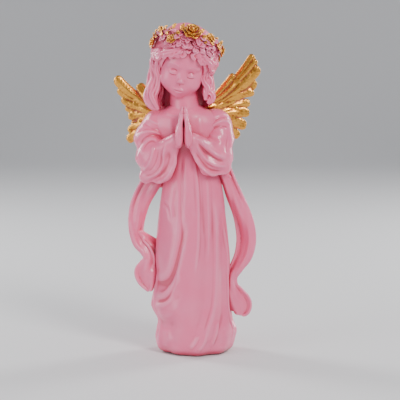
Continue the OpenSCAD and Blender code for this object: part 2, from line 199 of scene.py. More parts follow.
def sweep(path, facing, width, thick, sides=14, grooves=0, depth=0.0):
    """Solid of oval section along a path, its flat side towards facing."""
    t = unit(np.gradient(path, axis=0))
    across = unit(np.cross(t, facing))
    out = np.cross(across, t)
    phi = 2 * math.pi * np.arange(sides) / sides
    r = 1 + depth * np.cos(grooves * phi)
    w = (np.broadcast_to(width, len(path)) / 2)[:, None, None]
    h = (np.broadcast_to(thick, len(path)) / 2)[:, None, None]
    rings = (path[:, None] + across[:, None] * w * (r * np.cos(phi))[:, None]
             + out[:, None] * h * (r * np.sin(phi))[:, None])
    return loft(rings)


def sheet(grid, thick, edge=0.4):
    """Closed shell as thick as thick on both sides of a grid of points, with rounded edges."""
    rows, cols = grid.shape[:2]
    n = unit(np.cross(np.gradient(grid, axis=0), np.gradient(grid, axis=1)))
    i, j = np.meshgrid(np.arange(rows), np.arange(cols), indexing="ij")
    rim = np.minimum(np.minimum(i, rows - 1 - i), np.minimum(j, cols - 1 - j))
    t = (np.broadcast_to(thick, (rows, cols)) / 2 * np.choose(np.minimum(rim, 2), [edge, 0.8, 1.0]))
    top, bottom = grid + n * t[..., None], grid - n * t[..., None]
    size = rows * cols
    f = grid_faces(rows, cols, False)
    index = np.arange(size).reshape(rows, cols)
    rim_loop = np.concatenate([index[0, :-1], index[:-1, -1], index[-1, :0:-1], index[:0:-1, 0]])
    after = np.roll(rim_loop, -1)
    side = np.stack([rim_loop, rim_loop + size, after + size, after], 1)
    faces = np.vstack([f[:, ::-1], f + size, side[:, ::-1]])
    return Clay(np.vstack([top.reshape(-1, 3), bottom.reshape(-1, 3)]), faces)


# ------------------------------------------------------------------ soft bodies

CORNERS = np.array([(i, j, k) for i in (0, 1) for j in (0, 1) for k in (0, 1)])
CELL_EDGES = [(a, b) for a in range(8) for b in range(a + 1, 8)
              if abs(CORNERS[a] - CORNERS[b]).sum() == 1]


class Body:
    """Distance field in a box, built up from soft shapes and then skinned."""

    def __init__(self, lo, hi, step):
        axes = [np.arange(a, b + step, step, dtype=np.float32) for a, b in zip(lo, hi)]
        self.p = np.stack(np.meshgrid(*axes, indexing="ij"), -1)
        self.d = np.full(self.p.shape[:3], 1e3, np.float32)
        self.lo, self.step = np.array([a[0] for a in axes]), step

    def add(self, d, blend):
        h = np.clip(0.5 + 0.5 * (self.d - d) / blend, 0, 1)
        self.d = self.d + (d - self.d) * h - blend * h * (1 - h)
        return self

    def cut(self, d, blend):
        h = np.clip(0.5 - 0.5 * (self.d + d) / blend, 0, 1)
        self.d = self.d + (-d - self.d) * h + blend * h * (1 - h)
        return self

    def ball(self, centre, radii):
        r = np.broadcast_to(np.array(radii, np.float32), 3)
        q = (self.p - np.array(centre, np.float32)) / r
        k = np.sqrt(np.sum(q * q, -1)) + 1e-6
        return k * (k - 1) / (np.sqrt(np.sum((q / r) ** 2, -1)) + 1e-6)

    def limb(self, a, b, ra, rb):
        a, b = np.array(a, np.float32), np.array(b, np.float32)
        t = np.clip(((self.p - a) @ (b - a)) / np.dot(b - a, b - a), 0, 1)
        gap = self.p - a - t[..., None] * (b - a)
        return np.sqrt(np.sum(gap * gap, -1)) - (ra + (rb - ra) * t)

    def skin(self):
        for edge in (0, -1):                 # the box itself is always outside
            self.d[edge] = self.d[:, edge] = self.d[:, :, edge] = self.step
        inside = self.d < 0
        n = np.array(inside.shape) - 1
        total = np.zeros(n, np.int8)
        for c in CORNERS:
            total += inside[c[0]:n[0] + c[0], c[1]:n[1] + c[1], c[2]:n[2] + c[2]]
        cells = np.argwhere((total > 0) & (total < 8))
        index = np.full(n, -1)
        index[tuple(cells.T)] = np.arange(len(cells))
        value = np.stack([self.d[tuple((cells + c).T)] for c in CORNERS], 1)
        spot, hits = np.zeros((len(cells), 3)), np.zeros(len(cells))
        for a, b in CELL_EDGES:
            crosses = (value[:, a] < 0) != (value[:, b] < 0)
            t = np.where(crosses, value[:, a] / (value[:, a] - value[:, b] + 1e-12), 0)
            spot += np.where(crosses[:, None], CORNERS[a] + t[:, None] * (CORNERS[b] - CORNERS[a]), 0)
            hits += crosses
        faces = []
        for axis in range(3):
            ahead = [slice(None)] * 3
            behind = [slice(None)] * 3
            ahead[axis], behind[axis] = slice(1, None), slice(None, -1)
            start = inside[tuple(behind)]
            p = np.argwhere(start != inside[tuple(ahead)])
            u, w = np.eye(3, dtype=int)[(axis + 1) % 3], np.eye(3, dtype=int)[(axis + 2) % 3]
            quad = np.stack([index[tuple((p - s).T)] for s in (0 * u, u, u + w, w)], 1)
            out = start[tuple(p.T)]
            faces += [quad[out], quad[~out][:, ::-1]]
        verts = self.lo + self.step * (cells + spot / hits[:, None])
        return Clay(verts, np.vstack(faces))


def write_mesh(name, clays, scale):
    offsets = np.cumsum([0] + [len(c.v) for c in clays])
    verts = np.vstack([c.v for c in clays]) * scale
    faces = np.vstack([c.f + k for c, k in zip(clays, offsets)])
    keep = np.ones(faces.shape, bool)
    keep[faces[:, 2] == faces[:, 3], 3] = False
    corners, sizes = faces[keep], keep.sum(1)
    mesh = bpy.data.meshes.new(name)
    mesh.vertices.add(len(verts))
    mesh.vertices.foreach_set("co", verts.ravel())
    mesh.loops.add(len(corners))
    mesh.loops.foreach_set("vertex_index", corners)
    mesh.polygons.add(len(faces))
    mesh.polygons.foreach_set("loop_start", np.cumsum(sizes) - sizes)
    mesh.update(calc_edges=True)
    mesh.validate()
    mesh.shade_smooth()
    return mesh


def fused(clays, voxel, smoothing=2):
    """One closed skin over all of the pieces of clay."""
    obj = bpy.data.objects.new("fusing", write_mesh("fusing", clays, 1.0))
    bpy.context.collection.objects.link(obj)
    remesh = obj.modifiers.new("fuse", "REMESH")
    remesh.mode = "VOXEL"
    remesh.voxel_size = voxel
    done = obj.evaluated_get(bpy.context.evaluated_depsgraph_get()).to_mesh()
    verts = np.empty(3 * len(done.vertices))
    done.vertices.foreach_get("co", verts)
    faces = np.array([tuple(p.vertices) if len(p.vertices) == 4 else tuple(p.vertices) + (p.vertices[-1],)
                      for p in done.polygons])
    bpy.data.objects.remove(obj)
    return Clay(verts.reshape(-1, 3), faces).smooth(smoothing)


def piece(name, clays, nodes, material):
    clays = clays if isinstance(clays, list) else [clays]
    mesh = write_mesh(name, clays, MM)
    # Hollowness per vertex; the materials turn it into painted shade in creases and, on the gilt, into where
    # the base shows.
    hollow = mesh.attributes.new("hollow", "FLOAT", "POINT")
    hollow.data.foreach_set("value", np.concatenate([c.hollowness() for c in clays]))
    obj = bpy.data.objects.new(name, mesh)
    bpy.context.collection.objects.link(obj)
    mesh.materials.append(material)
    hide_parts(*nodes)
    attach(obj, "root")
    print("piece", name, len(mesh.polygons))
    return obj


# ------------------------------------------------------------------ materials

def shader(name, **inputs):
    material = bpy.data.materials.new(name)
    material.use_nodes = True
    tree = material.node_tree
    principled = tree.nodes["Principled BSDF"]
    for key, value in inputs.items():
        principled.inputs[key.replace("_", " ")].default_value = value
    return material, tree, principled


def node(tree, kind, **settings):
    made = tree.nodes.new(kind)
    for key, value in settings.items():
        if key in made.bl_rna.properties:
            setattr(made, key, value)
        else:
            made.inputs[key.replace("_", " ")].default_value = value
    return made


def noise(tree, size, detail=4.0, roughness=0.55):
    """Noise whose features are about size millimetres wide."""
    place = node(tree, "ShaderNodeTexCoord")
    made = node(tree, "ShaderNodeTexNoise", Scale=1 / (size * MM), Detail=detail, Roughness=roughness)
    tree.links.new(place.outputs["Object"], made.inputs["Vector"])
    return made.outputs["Fac"]


def mapped(tree, value, start, end, low_value=0.0, high_value=1.0):
    made = node(tree, "ShaderNodeMapRange")
    made.interpolation_type = "SMOOTHSTEP"
    tree.links.new(value, made.inputs["Value"])
    for key, number in zip(("From Min", "From Max", "To Min", "To Max"),
                           (start, end, low_value, high_value)):
        made.inputs[key].default_value = number
    return made.outputs["Result"]


def math_node(tree, operation, a, b):
    made = node(tree, "ShaderNodeMath", operation=operation)
    for socket, value in zip(made.inputs, (a, b)):
        if isinstance(value, (int, float)):
            socket.default_value = value
        else:
            tree.links.new(value, socket)
    return made.outputs[0]


def mixed(tree, share, a, b):
    made = node(tree, "ShaderNodeMix", data_type="RGBA")
    for socket, value in zip((made.inputs["Factor"], made.inputs[6], made.inputs[7]), (share, a, b)):
        if isinstance(value, tuple):
            socket.default_value = value + (1,)
        else:
            tree.links.new(value, socket)
    return made.outputs[2]


def bumped(tree, principled, height, depth):
    made = node(tree, "ShaderNodeBump", Strength=1.0, Distance=depth * MM)
    tree.links.new(height, made.inputs["Height"])
    tree.links.new(made.outputs["Normal"], principled.inputs["Normal"])


PINK = (0.89, 0.152, 0.305)
PALE_PINK = (0.91, 0.265, 0.42)
# Colour of the painted shade in creases and sheltered recesses.
SHADE_PINK = (0.52, 0.02, 0.06)


def hollow_of(tree):
    return node(tree, "ShaderNodeAttribute", attribute_name="hollow").outputs["Fac"]


def pink_resin():
    """Lacquered casting, paler on sharp edges; the deeper pink in the creases and in sheltered recesses is
    painted shade.
    """
    material, tree, principled = shader("pink_resin", Coat_Weight=0.4, Coat_Roughness=0.1,
                                        Subsurface_Weight=0.1, Subsurface_Scale=0.003, IOR=1.48)
    principled.inputs["Subsurface Radius"].default_value = (1.0, 0.35, 0.3)
    hollow = hollow_of(tree)
    # Ambient occlusion, used below only to paint shade into recesses and between parts.
    shelter = node(tree, "ShaderNodeAmbientOcclusion", samples=5, Distance=0.009)
    cloud = mapped(tree, noise(tree, 16), 0.35, 0.7)
    base = mixed(tree, math_node(tree, "MULTIPLY", cloud, 0.25), PINK, PALE_PINK)
    # Paler pink on sharp edges.
    paler_edges = mixed(tree, mapped(tree, hollow, -0.1, -0.8, 0.0, 0.6), base, PALE_PINK)
    # Painted shade: deeper pink in creases and where the ambient occlusion is low.
    deep = mapped(tree, hollow, 0.12, 0.9, 0.0, 0.7)
    closed = mapped(tree, shelter.outputs["AO"], 0.75, 0.2, 0.0, 0.85)
    tone_and_shade = mixed(tree, math_node(tree, "MAXIMUM", deep, closed), paler_edges, SHADE_PINK)
    tree.links.new(tone_and_shade, principled.inputs["Base Color"])
    rough = mapped(tree, noise(tree, 5), 0.3, 0.75, 0.3, 0.42)
    tree.links.new(rough, principled.inputs["Roughness"])
    bumped(tree, principled, noise(tree, 1.3, 3.0), 0.04)
    return material


def gilding():
    """Gold paint dry-brushed over the resin, with pink and brown left in the hollows; ambient occlusion adds
    painted shade in recesses.
    """
    material, tree, principled = shader("gilding", Coat_Weight=0.2, Coat_Roughness=0.15)
    hollow = hollow_of(tree)
    patchy = mapped(tree, noise(tree, 6.0, 4.0, 0.5), 0.3, 0.72, -0.3, 0.3)
    # Painted shade: where ambient occlusion is low, the gold darkens and more of the base shows.
    shelter = node(tree, "ShaderNodeAmbientOcclusion", samples=5, Distance=0.005)
    closed = mapped(tree, shelter.outputs["AO"], 0.93, 0.42, -0.12, 1.0)
    # Hollows and patchy tone are the paint's own; the occlusion term is painted shade.
    bare_and_shade_level = math_node(tree, "ADD", math_node(tree, "ADD", hollow, patchy), closed)
    bare_and_shaded = mapped(tree, bare_and_shade_level, 0.18, 0.5)
    tone_and_shade = mapped(tree, bare_and_shade_level, -0.15, 0.3)
    # Darker brown gold: partly the paint's own tone, partly painted shade.
    gold = mixed(tree, tone_and_shade, (0.80, 0.37, 0.055), (0.42, 0.12, 0.01))
    under = mixed(tree, mapped(tree, noise(tree, 6), 0.45, 0.55), (0.50, 0.11, 0.10), (0.28, 0.06, 0.012))
    tree.links.new(mixed(tree, bare_and_shaded, gold, under), principled.inputs["Base Color"])
    tree.links.new(mapped(tree, bare_and_shaded, 0, 1, 1.0, 0.15), principled.inputs["Metallic"])
    tree.links.new(mapped(tree, noise(tree, 2), 0.3, 0.7, 0.2, 0.4), principled.inputs["Roughness"])
    bumped(tree, principled, noise(tree, 0.8, 3.0), 0.045)
    return material


def felt():
    material, tree, principled = shader("felt", Roughness=0.95, Sheen_Weight=0.4)
    tone = mapped(tree, noise(tree, 0.6, 6.0, 0.7), 0.3, 0.7)
    tree.links.new(mixed(tree, tone, (0.09, 0.055, 0.045), (0.16, 0.10, 0.085)),
                   principled.inputs["Base Color"])
    bumped(tree, principled, noise(tree, 0.25, 5.0, 0.7), 0.2)
    return material


def drawn_steel():
    material, tree, principled = shader("drawn_steel", Metallic=1.0)
    tone = mapped(tree, noise(tree, 1.5), 0.3, 0.7)
    tree.links.new(mixed(tree, tone, (0.5, 0.5, 0.51), (0.62, 0.62, 0.63)), principled.inputs["Base Color"])
    tree.links.new(mapped(tree, noise(tree, 0.4), 0.3, 0.7, 0.25, 0.45), principled.inputs["Roughness"])
    return material


resin, gilt = pink_resin(), gilding()

# ------------------------------------------------------------------ gown

# From hem to collar: height, middle x, half width, middle y, half depth
GOWN = [
    (0.5, -0.6, 19.6, 0, 18.4), (1.6, -0.6, 21.8, 0, 20.0), (4.0, -0.5, 23.7, 0, 21.2),
    (9.5, -0.3, 25.0, 0, 21.6), (14.6, 0.5, 24.9, 0, 21.4), (20.9, -0.4, 23.2, 0, 20.6),
    (27.9, -2.7, 24.4, 0, 20.2), (32.3, -3.2, 24.5, 0, 20.0), (45.6, -2.2, 23.0, 0.2, 19.2),
    (59.6, -2.7, 23.4, 0.4, 18.4), (71.6, -2.8, 22.6, 0.6, 17.6), (84.0, -2.6, 21.6, 0.8, 16.6),
    (94.5, -2.4, 20.6, 1.0, 15.2), (106.5, -2.5, 18.8, 1.0, 13.8), (119, -3.2, 16.8, 0.8, 12.6),
    (129, -5, 17.2, 0.6, 12.2), (138, -6, 20.2, 0.4, 12.8),
    (145, -6.3, 22.6, 0.2, 12.6), (150, -6.5, 21.2, 0.4, 11.6), (153.2, -6.7, 17.2, 0.6, 10.3),
    (155.4, -6.9, 12.6, 0.8, 9.1), (156.8, -7, 10.2, 0.8, 8.5), (157.5, -7, 9.3, 0.8, 8.0),
    (157.6, -7, 8.5, 0.8, 7.4), (156.4, -7, 7.8, 0.8, 6.8),
]

GOWN_FRONT = [
    # swag over the figure's right hip, with a crisp edge towards the middle
    (1.27, 5.25, 1, [(-10.4, 92), (-11, 80), (-12.6, 70), (-15, 60), (-18, 52), (-22.5, 48.5), (-27, 50)]),
    (-0.63, 1.87, 0, [(-6.9, 90), (-7.2, 80), (-9.0, 71), (-11.2, 61.5), (-13.6, 53.2), (-17.4, 46.2),
                      (-23, 44.6)]),
    (1.02, 2.75, 1, [(-26.5, 37.5), (-20.5, 38.5), (-15.6, 44), (-11.4, 54), (-8.6, 66), (-7.6, 74)]),
    (0.935, 2.5, 1, [(-27.5, 31), (-21, 32.6), (-16, 36.9), (-11.8, 45.6), (-8.9, 56)]),
    (-0.42, 1.7, 0, [(-25, 34.6), (-18.6, 35.4), (-13.4, 41), (-10, 50)]),
    (0.68, 3, 0, [(-25, 26), (-19.5, 25), (-14, 29), (-10, 38)]),
    # broad middle fold and the folds beside it
    (1.27, 6.75, 0, [(-2.2, 106), (-2.4, 84), (-3, 60), (-5.4, 38), (-8.4, 20), (-10, 5)]),
    (-0.77, 3.4, 0, [(3.4, 106), (5.2, 88), (6.2, 70), (6.4, 52), (4.4, 32), (-1.0, 14), (-4.5, 6)]),
    (1.27, 3.5, -1, [(10.6, 104), (12.2, 88), (12.7, 70), (12.5, 48), (11.2, 31), (7, 16), (4.2, 4)]),
    (-0.84, 2.04, 0, [(15.4, 96), (16.4, 80), (16.4, 52), (16.8, 28), (14.6, 15)]),
    (1.02, 3, 0, [(19.2, 84), (19.4, 60), (19.0, 38), (19.8, 24), (22.4, 12)]),
    (0.765, 1.62, 1, [(14.2, 23), (12.6, 14), (9.6, 6)]),
    (0.765, 1.5, 1, [(1.8, 14), (-0.4, 9), (-3.6, 4.5)]),
    (0.68, 1.5, 1, [(6.8, 12.5), (4.8, 8), (2.0, 3.5)]),
    (-0.49, 1.53, 0, [(16.8, 17), (17.6, 11), (16.4, 5)]),
    (0.68, 2.25, 0, [(-19, 17), (-18, 10), (-19.6, 4)]),
    (-0.49, 2.38, 0, [(-14.4, 24), (-15, 13), (-14.2, 5)]),
    # small gathers at the hip
    (0.26, 1.1, 0, [(-21.6, 95), (-18.4, 91.4), (-17.4, 84)]),
    (0.26, 1.1, 0, [(-20.4, 99), (-16.6, 94.4), (-15.0, 86)]),
    (-0.16, 1.02, 0, [(-21, 97), (-17.6, 93), (-16.5, 85)]),
    (-0.49, 1.53, 0, [(-12.4, 108), (-13.4, 96), (-12.8, 84)]),
    # panel between the sleeves
    (0.765, 3.25, 0, [(-4.4, 130), (-4.6, 112), (-5, 90)]),
    (-0.56, 1.36, 0, [(-8.4, 129), (-9.2, 113), (-9.4, 92), (-8.6, 66)]),
    (1.0, 1.4, 1, [(-1, 126), (0.9, 110), (1.8, 92), (1.4, 70), (-0.6, 50)]),
    (-0.3, 1.19, 0, [(3.2, 117), (3.9, 104), (4.4, 88), (5.2, 72)]),
    (0.65, 1.3, 0, [(6.8, 116), (7.4, 98), (7.9, 78), (7.4, 56)]),
    (-0.3, 1.19, 0, [(9.6, 113), (10.2, 102), (10.4, 88), (10.2, 70)]),
    # soft lines of the bodice
    (0.34, 1.62, 0, [(-16.5, 152), (-15.6, 144), (-14.6, 137)]),
    (-0.21, 1.53, 0, [(-13.4, 151), (-13.2, 144), (-12.6, 138)]),
    (0.34, 1.75, 0, [(1.6, 151), (2.6, 145), (3.4, 139)]),
    (0.425, 1, 0, [(-19.5, 153.4), (-15, 151.6), (-10.5, 151.0)]),
]


def drape(count, x0, x1, z0, z1, height, width):
    """Long upright folds side by side, each swaying a little, for the back and sides."""
    strokes = []
    for k in range(count):
        x = x0 + (x1 - x0) * (k + 0.5) / count
        sway = rng.uniform(-1.8, 1.8, 5)
        foot = x * 1.12 + sway[0]
        points = [(x * 0.78, z1 - rng.uniform(0, 8)), (x * 0.86 + sway[1], z0 + 0.66 * (z1 - z0)),
                  (x * 0.96 + sway[2], z0 + 0.33 * (z1 - z0)), (foot, z0)]
        strokes.append((height * rng.uniform(0.8, 1.2), width, int(rng.integers(-1, 2)), points))
        valley = [(px + 0.5 * (x1 - x0) / count, pz) for px, pz in points]
        strokes.append((-0.6 * height, width * 0.5, 0, valley))
    return strokes


def gown():
    rows, cols = 310, 300
    s = spline(GOWN, rows)
    a = 2 * math.pi * np.arange(cols) / cols
    z, cx, hw, cy, hd = (s[:, k, None] for k in range(5))
    hem = 1 - ramp(z, 3, 26)
    wave = hem * (0.7 * np.cos(9 * a + 0.6) + 0.5 * np.cos(5 * a + 2.1))
    x = cx + (hw + wave) * np.cos(a)
    y = cy + (hd + wave) * np.sin(a)
    body = loft(np.stack([x, y, np.broadcast_to(z, x.shape)], -1))
    body.emboss(GOWN_FRONT, "front")
    body.emboss(drape(7, -20, 20, 4, 104, 1.4, 2.4), "back")
    body.emboss(drape(5, -9, 13, 4, 96, 0.9, 1.6), "left")
    body.emboss(drape(5, -9, 13, 4, 60, 0.9, 1.6), "right")
    body.emboss([(0.6, 1.2, 0, [(-16, 148), (-12, 138), (-6, 128)]),
                 (0.6, 1.2, 0, [(4, 148), (0, 138), (-4, 128)]),
                 (0.7, 1.6, 0, [(-5, 152), (-5, 138), (-5, 124)])], "back")
    return body.smooth(2, 0.4)


piece("gown_casting", gown(), ["gown"], resin)

# ------------------------------------------------------------------ sleeves

RIGHT_FOLDS = [
    (-0.9, 1.1, 0, [(-38, 137.5), (-33.4, 141.6), (-28, 142.4), (-22.4, 140.4), (-17, 137.4)]),
    (1.4, 1.6, -1, [(-37.6, 134.6), (-34, 139.4), (-28.6, 141), (-23, 139.2), (-18, 136.2)]),
    (-0.9, 1.1, 0, [(-35.8, 129.6), (-33.4, 136), (-29, 138.8), (-24, 138.4), (-19.2, 135)]),
    (1.0, 1.5, -1, [(-34.6, 126), (-32.4, 132.6), (-28, 136.2), (-22, 134.4)]),
    (1.7, 1.9, -1, [(-18.6, 134.6), (-20.2, 128.6), (-20.8, 121.6), (-24, 116), (-29, 113), (-34, 112.6)]),
    (-1.0, 1.3, 0, [(-16.4, 131.4), (-17.0, 124.2), (-19.8, 117.2), (-24.8, 113.2), (-30.4, 111.2)]),
    (1.8, 1.9, -1, [(-12.6, 129), (-13.6, 122.4), (-16.8, 115.6), (-21.6, 111), (-28, 108.9), (-33, 109.6)]),
    (1.1, 1.4, 1, [(-25.4, 134), (-26.8, 127.4), (-29.4, 120.5), (-33.2, 116.4)]),
    (-0.6, 1.0, 0, [(-23.2, 133), (-24.2, 125.4), (-26.8, 119.4), (-31, 115.4)]),
    (0.8, 1.3, -1, [(-31, 149), (-25, 145.8), (-19.6, 143.8)]),
    (-0.6, 1.0, 0, [(-34, 146.4), (-27, 143.6), (-20.6, 142.0)]),
]
LEFT_FOLDS = [
    (-0.7, 1.0, 0, [(6.6, 142.6), (11.4, 147.6), (15.8, 149.8), (20.6, 148.8)]),
    (1.2, 1.4, -1, [(7.2, 141.2), (12, 145.4), (17, 147.4), (22, 145.6)]),
    (-0.9, 1.0, 0, [(6.4, 139.8), (11.6, 143.6), (17.4, 144.6), (21.4, 142.6)]),
    (2.0, 2.4, -1, [(0.8, 138.8), (4.2, 133.8), (8.8, 129.8), (13.6, 126.4), (19.4, 124.6)]),
    (-1.0, 1.3, 0, [(0.2, 136.0), (4.0, 130.8), (8.8, 126.8), (14, 123.6), (20, 122.4)]),
    (1.3, 1.7, -1, [(-0.4, 135.6), (2.6, 129), (6.8, 123.4), (12.8, 120.2), (19.9, 119.4)]),
    (-1.0, 1.2, 0, [(-2.0, 131.6), (2.0, 125), (6.6, 119.6), (12.2, 116.8), (19, 116.4)]),
    (1.7, 1.7, -1, [(-3.2, 130), (0.6, 123.6), (4.8, 118), (9.8, 114.6), (15.4, 114), (21.6, 115.8)]),
    (-0.7, 1.1, 0, [(19.4, 143.8), (19.8, 137.4), (19.0, 131.2), (19.8, 127)]),
    (0.8, 1.5, 0, [(3.4, 138.4), (9, 138.8), (14, 136.6), (16.6, 132)]),
]


def arm_back_folds(x, turn):
    """Folds of the sleeve behind, mirrored by turn."""
    place = lambda points: [(x + turn * px, pz) for px, pz in points]
    return [
        (1.0, 1.5, 0, place([(4, 150), (8, 143), (10, 135), (9.4, 127)])),
        (-0.7, 0.9, 0, place([(2, 148), (5.6, 141), (7.4, 133), (7, 124)])),
        (0.9, 1.4, 0, place([(-1, 147), (2.6, 139), (4.6, 130), (4.4, 120)])),
        (-0.7, 0.9, 0, place([(9, 133), (5, 126), (0, 120)])),
        (0.8, 1.3, 0, place([(9.6, 129), (6, 122), (1, 116)])),
    ]


def sleeve(side):
    """Wide sleeve with a hanging cuff; side is -1 for the figure's right."""
    node_name = "right_sleeve" if side < 0 else "left_sleeve"
    body = Body(low(node_name) - 4, high(node_name) + 4, 0.42)
    if side < 0:
        body.add(body.ball((-23.6, 2.6, 144.8), (10, 10, 9.8)), 1)
        body.add(body.ball((-29.4, -0.6, 136.4), (9.6, 9.8, 10.4)), 4)
        body.add(body.ball((-29.6, -4, 125.6), (7.8, 9, 8.6)), 4)
        body.add(body.limb((-29, -5, 124), (-12.6, -16.6, 136.4), 7.4, 4.5), 4)
        body.add(body.ball((-24, -9.6, 121), (8.6, 6.2, 10)), 4)
        body.add(body.limb((-13.8, -15.4, 130), (-17.6, -12.8, 115.6), 3.0, 3.0), 3)
        body.add(body.limb((-31.2, -6.6, 112.8), (-19, -11.6, 113.6), 4.7, 3.2), 3)
        body.cut(body.ball((-22.5, -7.4, 106.6), (8.4, 3.4, 6.4)), 1.5)
    else:
        body.add(body.ball((12.2, 2.6, 145), (10.4, 10, 9.8)), 1)
        body.add(body.ball((14.6, -0.6, 136.6), (9.2, 9.8, 10.4)), 4)
        body.add(body.ball((15.2, -4, 127), (7.2, 9, 8.4)), 4)
        body.add(body.limb((15, -5, 125.4), (-2.2, -16.6, 136.6), 7.4, 4.5), 4)
        body.add(body.ball((10.8, -9.4, 124), (8.4, 6.2, 8)), 4)
        body.add(body.limb((-0.8, -15.4, 130.4), (5.6, -12.6, 118), 3.0, 3.0), 3)
        body.add(body.limb((7.4, -11.8, 117.4), (17.6, -6.6, 118.4), 3.3, 4.4), 3)
        body.cut(body.ball((10.5, -7.2, 112.2), (7.6, 3.2, 5)), 1.5)
    clay = body.skin().smooth(3)
    clay.emboss(RIGHT_FOLDS if side < 0 else LEFT_FOLDS, "front")
    clay.emboss(arm_back_folds(-24 if side < 0 else 12.6, side), "back")
    side_view = "right" if side < 0 else "left"
    clay.emboss([(0.5, 1.6, 0, [(-9, 131), (-3, 135), (4, 139)]),
                 (-0.4, 1.2, 0, [(-9, 127), (-2, 130.6), (6, 134)]),
                 (0.5, 1.6, 0, [(-10, 122), (-3, 124), (4, 128)])], side_view)
    return clay.smooth(3, 0.5)


piece("right_sleeve_casting", sleeve(-1), ["right_sleeve"], resin)
piece("left_sleeve_casting", sleeve(1), ["left_sleeve"], resin)

# ------------------------------------------------------------------ hands

PALMS_X = high("right_hand")[0] + 0.02      # plane between the palms


def hand(side):
    """One hand of the praying pair, modelled as the figure's right and mirrored for the left."""
    body = Body((-18, -28, 124), (PALMS_X, -9, 161), 0.26)
    body.add(body.limb((-14.4, -15.8, 130.6), (-11.0, -18.0, 136.6), 2.6, 2.7), 1)
    body.add(body.ball((-10.2, -18.8, 139), (2.75, 5.5, 7.2)), 2.2)
    body.add(body.ball((-9.8, -19.4, 143.5), (2.2, 5.2, 4.6)), 1.6)
    body.add(body.ball((-10.4, -15.2, 137.6), (2.4, 2.8, 4.6)), 1.6)
    body.add(body.ball((-10.6, -22.6, 138.2), (2.0, 2.0, 5.2)), 1.4)
    for y0, y1, top, r in ((-23.4, -21.7, 153.2, 1.28), (-20.9, -19.9, 156.2, 1.4),
                           (-18.3, -18.1, 157.4, 1.45), (-15.9, -16.4, 155.8, 1.38)):
        middle = (PALMS_X - 1.75, (y0 + y1) / 2, 143 + 0.55 * (top - 143))
        finger = np.minimum(body.limb((PALMS_X - 2.3, y0, 142.6), middle, r * 1.06, r),
                            body.limb(middle, (PALMS_X - 0.95, y1, top - 0.9), r, r * 0.72))
        body.add(finger, 0.45)
    thumb = np.minimum(body.limb((-11, -14.0, 136.5), (-10.0, -12.4, 143), 1.9, 1.6),
                       body.limb((-10.0, -12.4, 143), (-9.0, -12.8, 148.4), 1.6, 1.15))
    body.add(thumb, 0.9)
    body.cut(PALMS_X - 0.04 - body.p[..., 0], 0.15)
    clay = body.skin().smooth(2)
    edge = [(-0.28, 0.32, 0, [(-22.3, 145), (-21.4, 149), (-20.9, 153)]),
            (-0.28, 0.32, 0, [(-19.7, 145), (-19.2, 150), (-19.0, 155)]),
            (-0.28, 0.32, 0, [(-17.1, 145), (-17.2, 150), (-17.2, 155)]),
            (-0.22, 0.35, 0, [(-24, 147.6), (-22.6, 148.0), (-21.4, 147.8)]),
            (-0.22, 0.35, 0, [(-21.6, 149.6), (-20, 150), (-18.6, 149.8)])]
    clay.emboss(edge, "right")
    if side > 0:
        clay.v[:, 0] = 2 * PALMS_X - clay.v[:, 0]
        clay = Clay(clay.v, clay.f[:, ::-1])
    return clay


piece("right_hand_casting", hand(-1), ["right_hand"], resin)
piece("left_hand_casting", hand(1), ["left_hand"], resin)

# ------------------------------------------------------------------ head

HEAD_AT = np.array((-7.5, -1.0, 185.0))     # middle of the skull
HEAD_BOW, HEAD_TILT, HEAD_TURN = 14.0, 13.0, 3.0
NECK_FOOT = np.array((-7.0, 0.5, 154.6))


def at_head(points):
    p = turned(turned(turned(points, HEAD_BOW, 0), HEAD_TILT, 1), HEAD_TURN, 2)
    return p + HEAD_AT


def from_head(points):
    p = np.asarray(points, float) - HEAD_AT
    return turned(turned(turned(p, -HEAD_TURN, 2), -HEAD_TILT, 1), -HEAD_BOW, 0)


def both(points):
    """The same stroke on the two sides of the face."""
    return [[(s * x, z) for x, z in points] for s in (-1, 1)]


# Heights on the face, in the head's own axes, by a drawing-book rule for a child: the figure is
# five heads tall, the brow is halfway down the head, and eyes, nose and mouth follow at quarters of
# the way from there to the chin. The crown's height and the width of an eye are given; the
# head is seven and a half eyes high, and there is about one eye's width between the eyes.
CROWN_Z = 21.8
HEAD_H = 210 / 5
CHIN_Z = CROWN_Z - HEAD_H
BROW_Z = CROWN_Z - HEAD_H / 2
QUARTER = (BROW_Z - CHIN_Z) / 4
EYE_Z = BROW_Z - QUARTER
NOSE_Z = BROW_Z - 2 * QUARTER
MOUTH_Z = BROW_Z - 3 * QUARTER
EYE_W = HEAD_H / 7.5
FACE_LINE = 0.4              # depth of a carved line on the face


